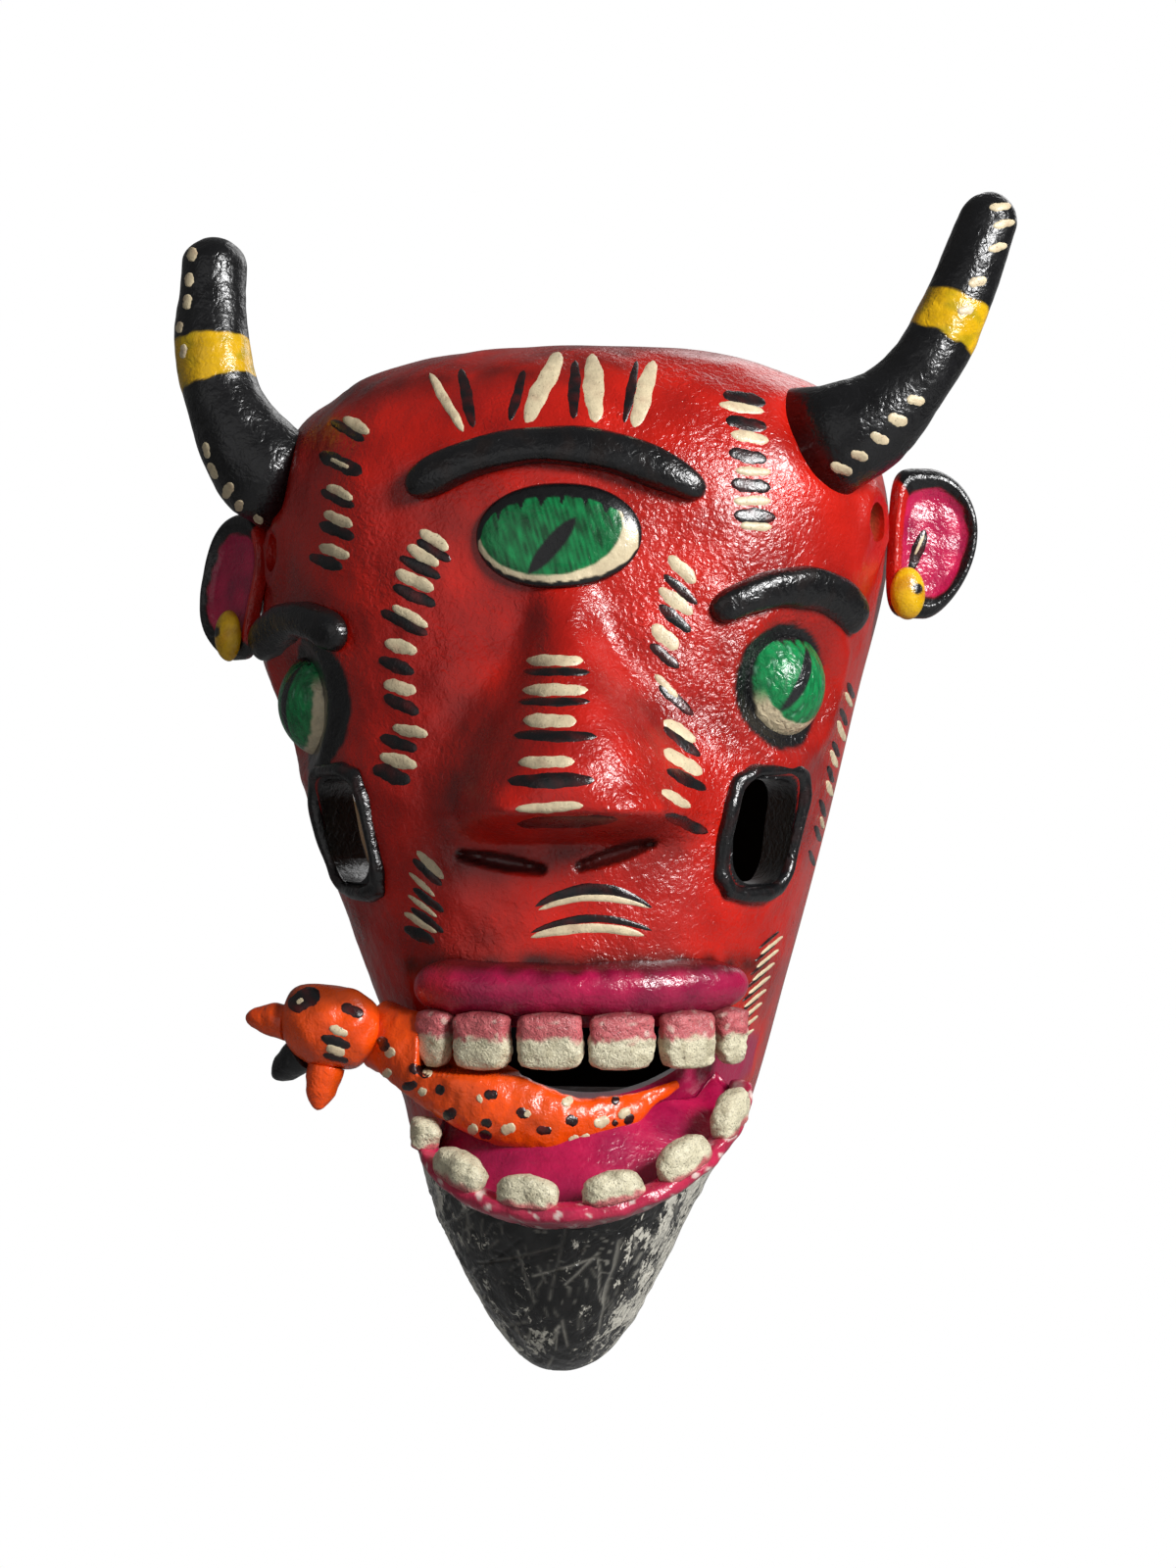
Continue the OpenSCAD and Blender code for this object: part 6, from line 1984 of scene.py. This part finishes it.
CREAM_DASHES = (
    (438, 380, 473, 441, 11), (572, 358, 536, 432, 21), (604, 360, 608, 432, 22),
    (667, 367, 647, 437, 19),
    (350, 426, 377, 442, 13), (337, 468, 357, 478, 9), (333, 496, 360, 510, 13),
    (330, 523, 360, 537, 13), (325, 557, 357, 568, 13),
    (428, 541, 458, 561, 14), (415, 557, 448, 577, 14), (403, 583, 443, 602, 15),
    (400, 618, 437, 640, 12), (392, 655, 426, 665, 15), (391, 697, 425, 706, 15),
    (400, 742, 437, 750, 13), (387, 771, 426, 782, 15),
    (536, 674, 596, 674, 13), (532, 704, 601, 704, 14), (533, 735, 589, 736, 16),
    (528, 778, 587, 777, 14), (525, 826, 596, 822, 12),
    (425, 868, 453, 897, 10), (417, 890, 444, 915, 6), (416, 913, 446, 936, 6),
    (412, 931, 446, 952, 8),
    (733, 412, 780, 420, 11), (745, 442, 785, 450, 13), (750, 480, 787, 482, 10),
    (748, 511, 787, 511, 11), (755, 536, 788, 538, 10),
    (682, 567, 710, 595, 15), (672, 600, 707, 627, 15), (665, 638, 692, 662, 17),
    (668, 688, 692, 713, 9), (677, 735, 710, 757, 14), (677, 765, 717, 790, 15),
    (675, 806, 705, 824, 11),
    (867, 706, 873, 722, 5), (859, 735, 866, 757, 6), (856, 765, 862, 784, 6),
    (852, 796, 857, 813, 6), (850, 833, 852, 846, 4))
BLACK_DASHES = (
    (470, 375, 483, 437, 13), (535, 377, 520, 430, 11), (587, 367, 585, 428, 13),
    (650, 367, 637, 432, 10),
    (337, 429, 372, 450, 11), (325, 463, 370, 483, 18), (327, 500, 362, 517, 13),
    (325, 534, 362, 549, 14), (315, 567, 350, 580, 14),
    (425, 551, 460, 573, 12), (407, 568, 450, 590, 13), (400, 598, 445, 618, 14),
    (388, 623, 437, 648, 14), (386, 672, 423, 687, 15), (391, 710, 428, 728, 15),
    (387, 752, 426, 765, 14), (380, 783, 419, 798, 18),
    (533, 685, 603, 686, 10), (528, 716, 603, 716, 10), (523, 750, 610, 752, 13),
    (516, 797, 608, 796, 17), (526, 841, 632, 836, 14),
    (421, 876, 451, 904, 10), (421, 906, 453, 931, 9), (419, 926, 453, 952, 9),
    (412, 946, 444, 962, 13),
    (737, 402, 782, 412, 15), (740, 428, 783, 437, 15), (743, 461, 783, 470, 15),
    (745, 493, 787, 498, 16), (748, 525, 792, 528, 17),
    (677, 586, 712, 617, 11), (672, 617, 705, 645, 13), (663, 657, 693, 682, 12),
    (672, 699, 708, 730, 12), (677, 741, 715, 772, 12), (680, 785, 721, 806, 13),
    (678, 831, 723, 850, 13),
    (865, 696, 871, 713, 6), (862, 722, 868, 741, 6), (858, 756, 864, 773, 6),
    (853, 781, 858, 799, 6), (849, 815, 854, 834, 6), (844, 842, 849, 859, 6),
    (838, 867, 843, 884, 5))
# the two bowed pairs between the nose and the lip: black over cream
BLACK_BOWS = ((544, 926, 667, 927, 13, 19), (539, 953, 667, 950, 9, 14))
CREAM_BOWS = ((548, 929, 664, 927, 8, 12), (540, 957, 659, 955, 11, 9))
# fine oblique lines at the right of the mouth
SIDE_CREAM = tuple((799 - 4.2 * k, 955 + 13.5 * k, 776 - 4.2 * k, 974 + 13.5 * k, 3.6)
                   for k in range(8))
SIDE_BLACK = tuple((795 - 4.2 * k, 950 + 13.5 * k, 774 - 4.2 * k, 968 + 13.5 * k, 3.0)
                   for k in range(8))
HORN_RIGHT_DOTS = (
    (1013, 212, 1036, 210, 9), (1013, 231, 1036, 226, 9), (1008, 255, 1028, 250, 9),
    (988, 290, 1007, 285, 11), (977, 318, 994, 315, 10), (925, 407, 944, 410, 11),
    (906, 425, 926, 432, 13), (888, 443, 907, 452, 11), (868, 462, 886, 468, 11),
    (847, 474, 870, 483, 11))
HORN_LEFT_DOTS = (
    (189, 252, 187, 267, 11), (186, 278, 184, 293, 10), (184, 300, 182, 316, 10),
    (184, 328, 182, 340, 8), (184, 351, 182, 366, 8), (193, 451, 196, 468, 8),
    (201, 472, 209, 489, 9), (224, 492, 217, 509, 11), (237, 510, 235, 522, 10),
    (247, 526, 256, 534, 9))
BODY_BLACK = (
    (387, 1058, 396, 1073, 10), (417, 1088, 440, 1097, 11), (390, 1110, 406, 1106, 8),
    (441, 1142, 453, 1132, 10), (444, 1112, 454, 1112, 9), (494, 1117, 508, 1117, 9),
    (491, 1144, 502, 1148, 8), (527, 1133, 540, 1139, 9), (547, 1153, 563, 1154, 8),
    (577, 1142, 590, 1145, 10), (624, 1122, 632, 1124, 8), (638, 1147, 646, 1137, 8),
    (473, 1156, 486, 1160, 8), (508, 1179, 520, 1168, 8), (580, 1173, 590, 1166, 7),
    (625, 1148, 630, 1144, 6))
BODY_CREAM = (
    (394, 1078, 402, 1070, 9), (375, 1098, 383, 1092, 8), (431, 1092, 441, 1096, 9),
    (368, 1113, 383, 1115, 8), (427, 1112, 435, 1116, 8), (487, 1122, 492, 1120, 8),
    (535, 1139, 541, 1134, 7), (473, 1153, 484, 1152, 10), (511, 1155, 526, 1149, 10),
    (574, 1128, 584, 1120, 9), (606, 1148, 622, 1142, 10), (631, 1140, 643, 1132, 9),
    (580, 1165, 592, 1162, 9), (606, 1168, 618, 1158, 9), (510, 1170, 518, 1166, 8))
HEAD_BLACK = ((290, 1028, 322, 1011, 24), (348, 1026, 371, 1036, 13), (327, 1058, 358, 1068, 12),
              (329, 1076, 356, 1083, 9))
HEAD_CREAM = ((303, 1024, 310, 1020, 8), (336, 1048, 355, 1056, 10), (333, 1068, 352, 1076, 12),
              (322, 1090, 336, 1086, 11))
EAR_BLACK, EAR_CREAM = ((944, 540, 929, 583, 13),), ((943, 545, 933, 567, 5),)
# the heights in mm of a first layer of strokes and of one that lies over it
LOW, HIGH = 0.32, 0.42
# the piece painted on, the seed, then name, finish, height, rows and scale of each set of strokes
STROKE_SETS = (
    ("face_carving", 501, (
        ("face_black_dashes", BLACK_STROKE, LOW, BLACK_DASHES, 1.0),
        ("face_black_bows", BLACK_STROKE, LOW, BLACK_BOWS, 1.0),
        ("face_cream_dashes", CREAM_STROKE, HIGH, CREAM_DASHES, 1.0),
        ("face_cream_bows", CREAM_STROKE, HIGH, CREAM_BOWS, 1.0),
        ("face_side_cream_lines", CREAM_STROKE, HIGH, SIDE_CREAM, 1.0),
        ("face_side_black_lines", BLACK_STROKE, HIGH, SIDE_BLACK, 1.0))),
    ("horn_right_carving", 502, (
        ("horn_right_dots", CREAM_STROKE, LOW, HORN_RIGHT_DOTS, 1.0),)),
    ("horn_left_carving", 503, (
        ("horn_left_dots", CREAM_STROKE, LOW, HORN_LEFT_DOTS, 1.0),)),
    ("feline_body_carving", 504, (
        ("feline_black_spots", BLACK_STROKE, LOW, BODY_BLACK, 1.25),
        ("feline_cream_spots", CREAM_STROKE, HIGH, BODY_CREAM, 1.2))),
    ("feline_head_carving", 505, (
        ("feline_head_black_marks", BLACK_STROKE, LOW, HEAD_BLACK, 1.0),
        ("feline_head_cream_marks", CREAM_STROKE, HIGH, HEAD_CREAM, 1.0))),
    ("ear_right_carving", 506, (
        ("ear_right_slot", BLACK_STROKE, LOW, EAR_BLACK, 1.0),
        ("ear_right_dash", CREAM_STROKE, HIGH, EAR_CREAM, 1.0))))


def lay_strokes() -> list[Object]:
    """Lay every raised stroke of paint.

    Returns:
        The pieces that the strokes make.
    """
    laid = []
    for target, seed, sets in STROKE_SETS:
        brush = Brush(bpy.data.objects[target], seed)
        for name, finish, raised, rows, scale in sets:
            brush.raised = raised
            laid.append(brush.paint(name, finish, rows, scale))
    return laid


# ---- all of it

def main() -> None:
    """Build the mask piece by piece, report each and dress the frame's hidden pieces."""
    VIEW.make_camera()
    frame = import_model()
    made = [FaceShell().build(), Beard().build()]
    made += [horn.build() for horn in (
        Horn(1, "horn_right_carving", "horn_right", 58, 26, 21.5, 50, 74, 18, 0.4, (0.49, 0.63)),
        Horn(-1, "horn_left_carving", "horn_left", -74, 18, 25, 21, 78, 44, -0.05, (0.42, 0.6)))]
    for ear in (Ear(1, "ear_right_carving", "ear_right", "bead_right", "earring_right",
                    82, -2, 16, 0.24),
                Ear(-1, "ear_left_carving", "ear_left", "bead_left", "earring_left",
                    -78, -14, 36, 0.33)):
        made += [ear.build(), ear.build_bead()]
    made += [part.build() for part in (
        Roll("brow_forehead_roll", "brow_forehead", 0, 22, 88, 12, 6, 14, -1, blunt=9, square=2.6),
        Roll("brow_right_roll", "brow_right", 49.5, -19, 59, 12, 6, 9.8, -1, blunt=9, seed=33,
             square=2.6),
        Roll("brow_left_roll", "brow_left", -60.5, -27, 55.5, 12, 6, 8.4, 1, blunt=9, seed=35,
             square=2.6),
        ForeheadEye(),
        SideEye("eye_right_ball", "eye_right", *FORM.eye_right, 62, -78, crescent=2.1, gaze=-4.5),
        SideEye("eye_left_ball", "eye_left", *FORM.eye_left, 78, -62, crescent=-0.1, gaze=4.0),
        PeepholeRim("peephole_frame_right", "peephole_rim_right", 52),
        PeepholeRim("peephole_frame_left", "peephole_rim_left", -52, seed=87),
        Lip("upper_lip_roll", "upper_lip", FORM.turn_at_x(10.5, -136), -136, 102, 16, 10, blunt=12,
            seed=37, rows=130, finish=PINK_ENAMEL, colour="#B41248"))]
    jaw, cat = LowerJaw(), Feline()
    made += [*UpperTeeth().build(), jaw.build(), *jaw.build_teeth(), cat.build_body(),
             cat.build_head()]
    made += [cat.build_nub(*nub) for nub in (
        ("feline_upper_ear_carving", "feline_ear_upper", (-1, 0.2, 0.1), 12),
        ("feline_lower_ear_carving", "feline_ear_lower", (-0.17, -0.16, -1), 11.4),
        ("feline_muzzle_carving", "feline_muzzle", (-0.76, 0.23, -0.6), 10.8, BLACK_ENAMEL))]
    made += lay_strokes()
    for name in ("beard_dowels", "lip_dowels", "jaw_dowels"):
        node = frame["nodes"][name]
        node.data.materials.clear()
        node.data.materials.append(BARE_WOOD.material())
        set_paint(node.data, linear(WOOD))
    for piece in made:
        LOG.info("%s: %d faces", piece.name, len(piece.data.polygons))
    Studio().build()


if __name__ == "__main__":
    logging.basicConfig(level=logging.INFO, format="%(message)s")
    main()
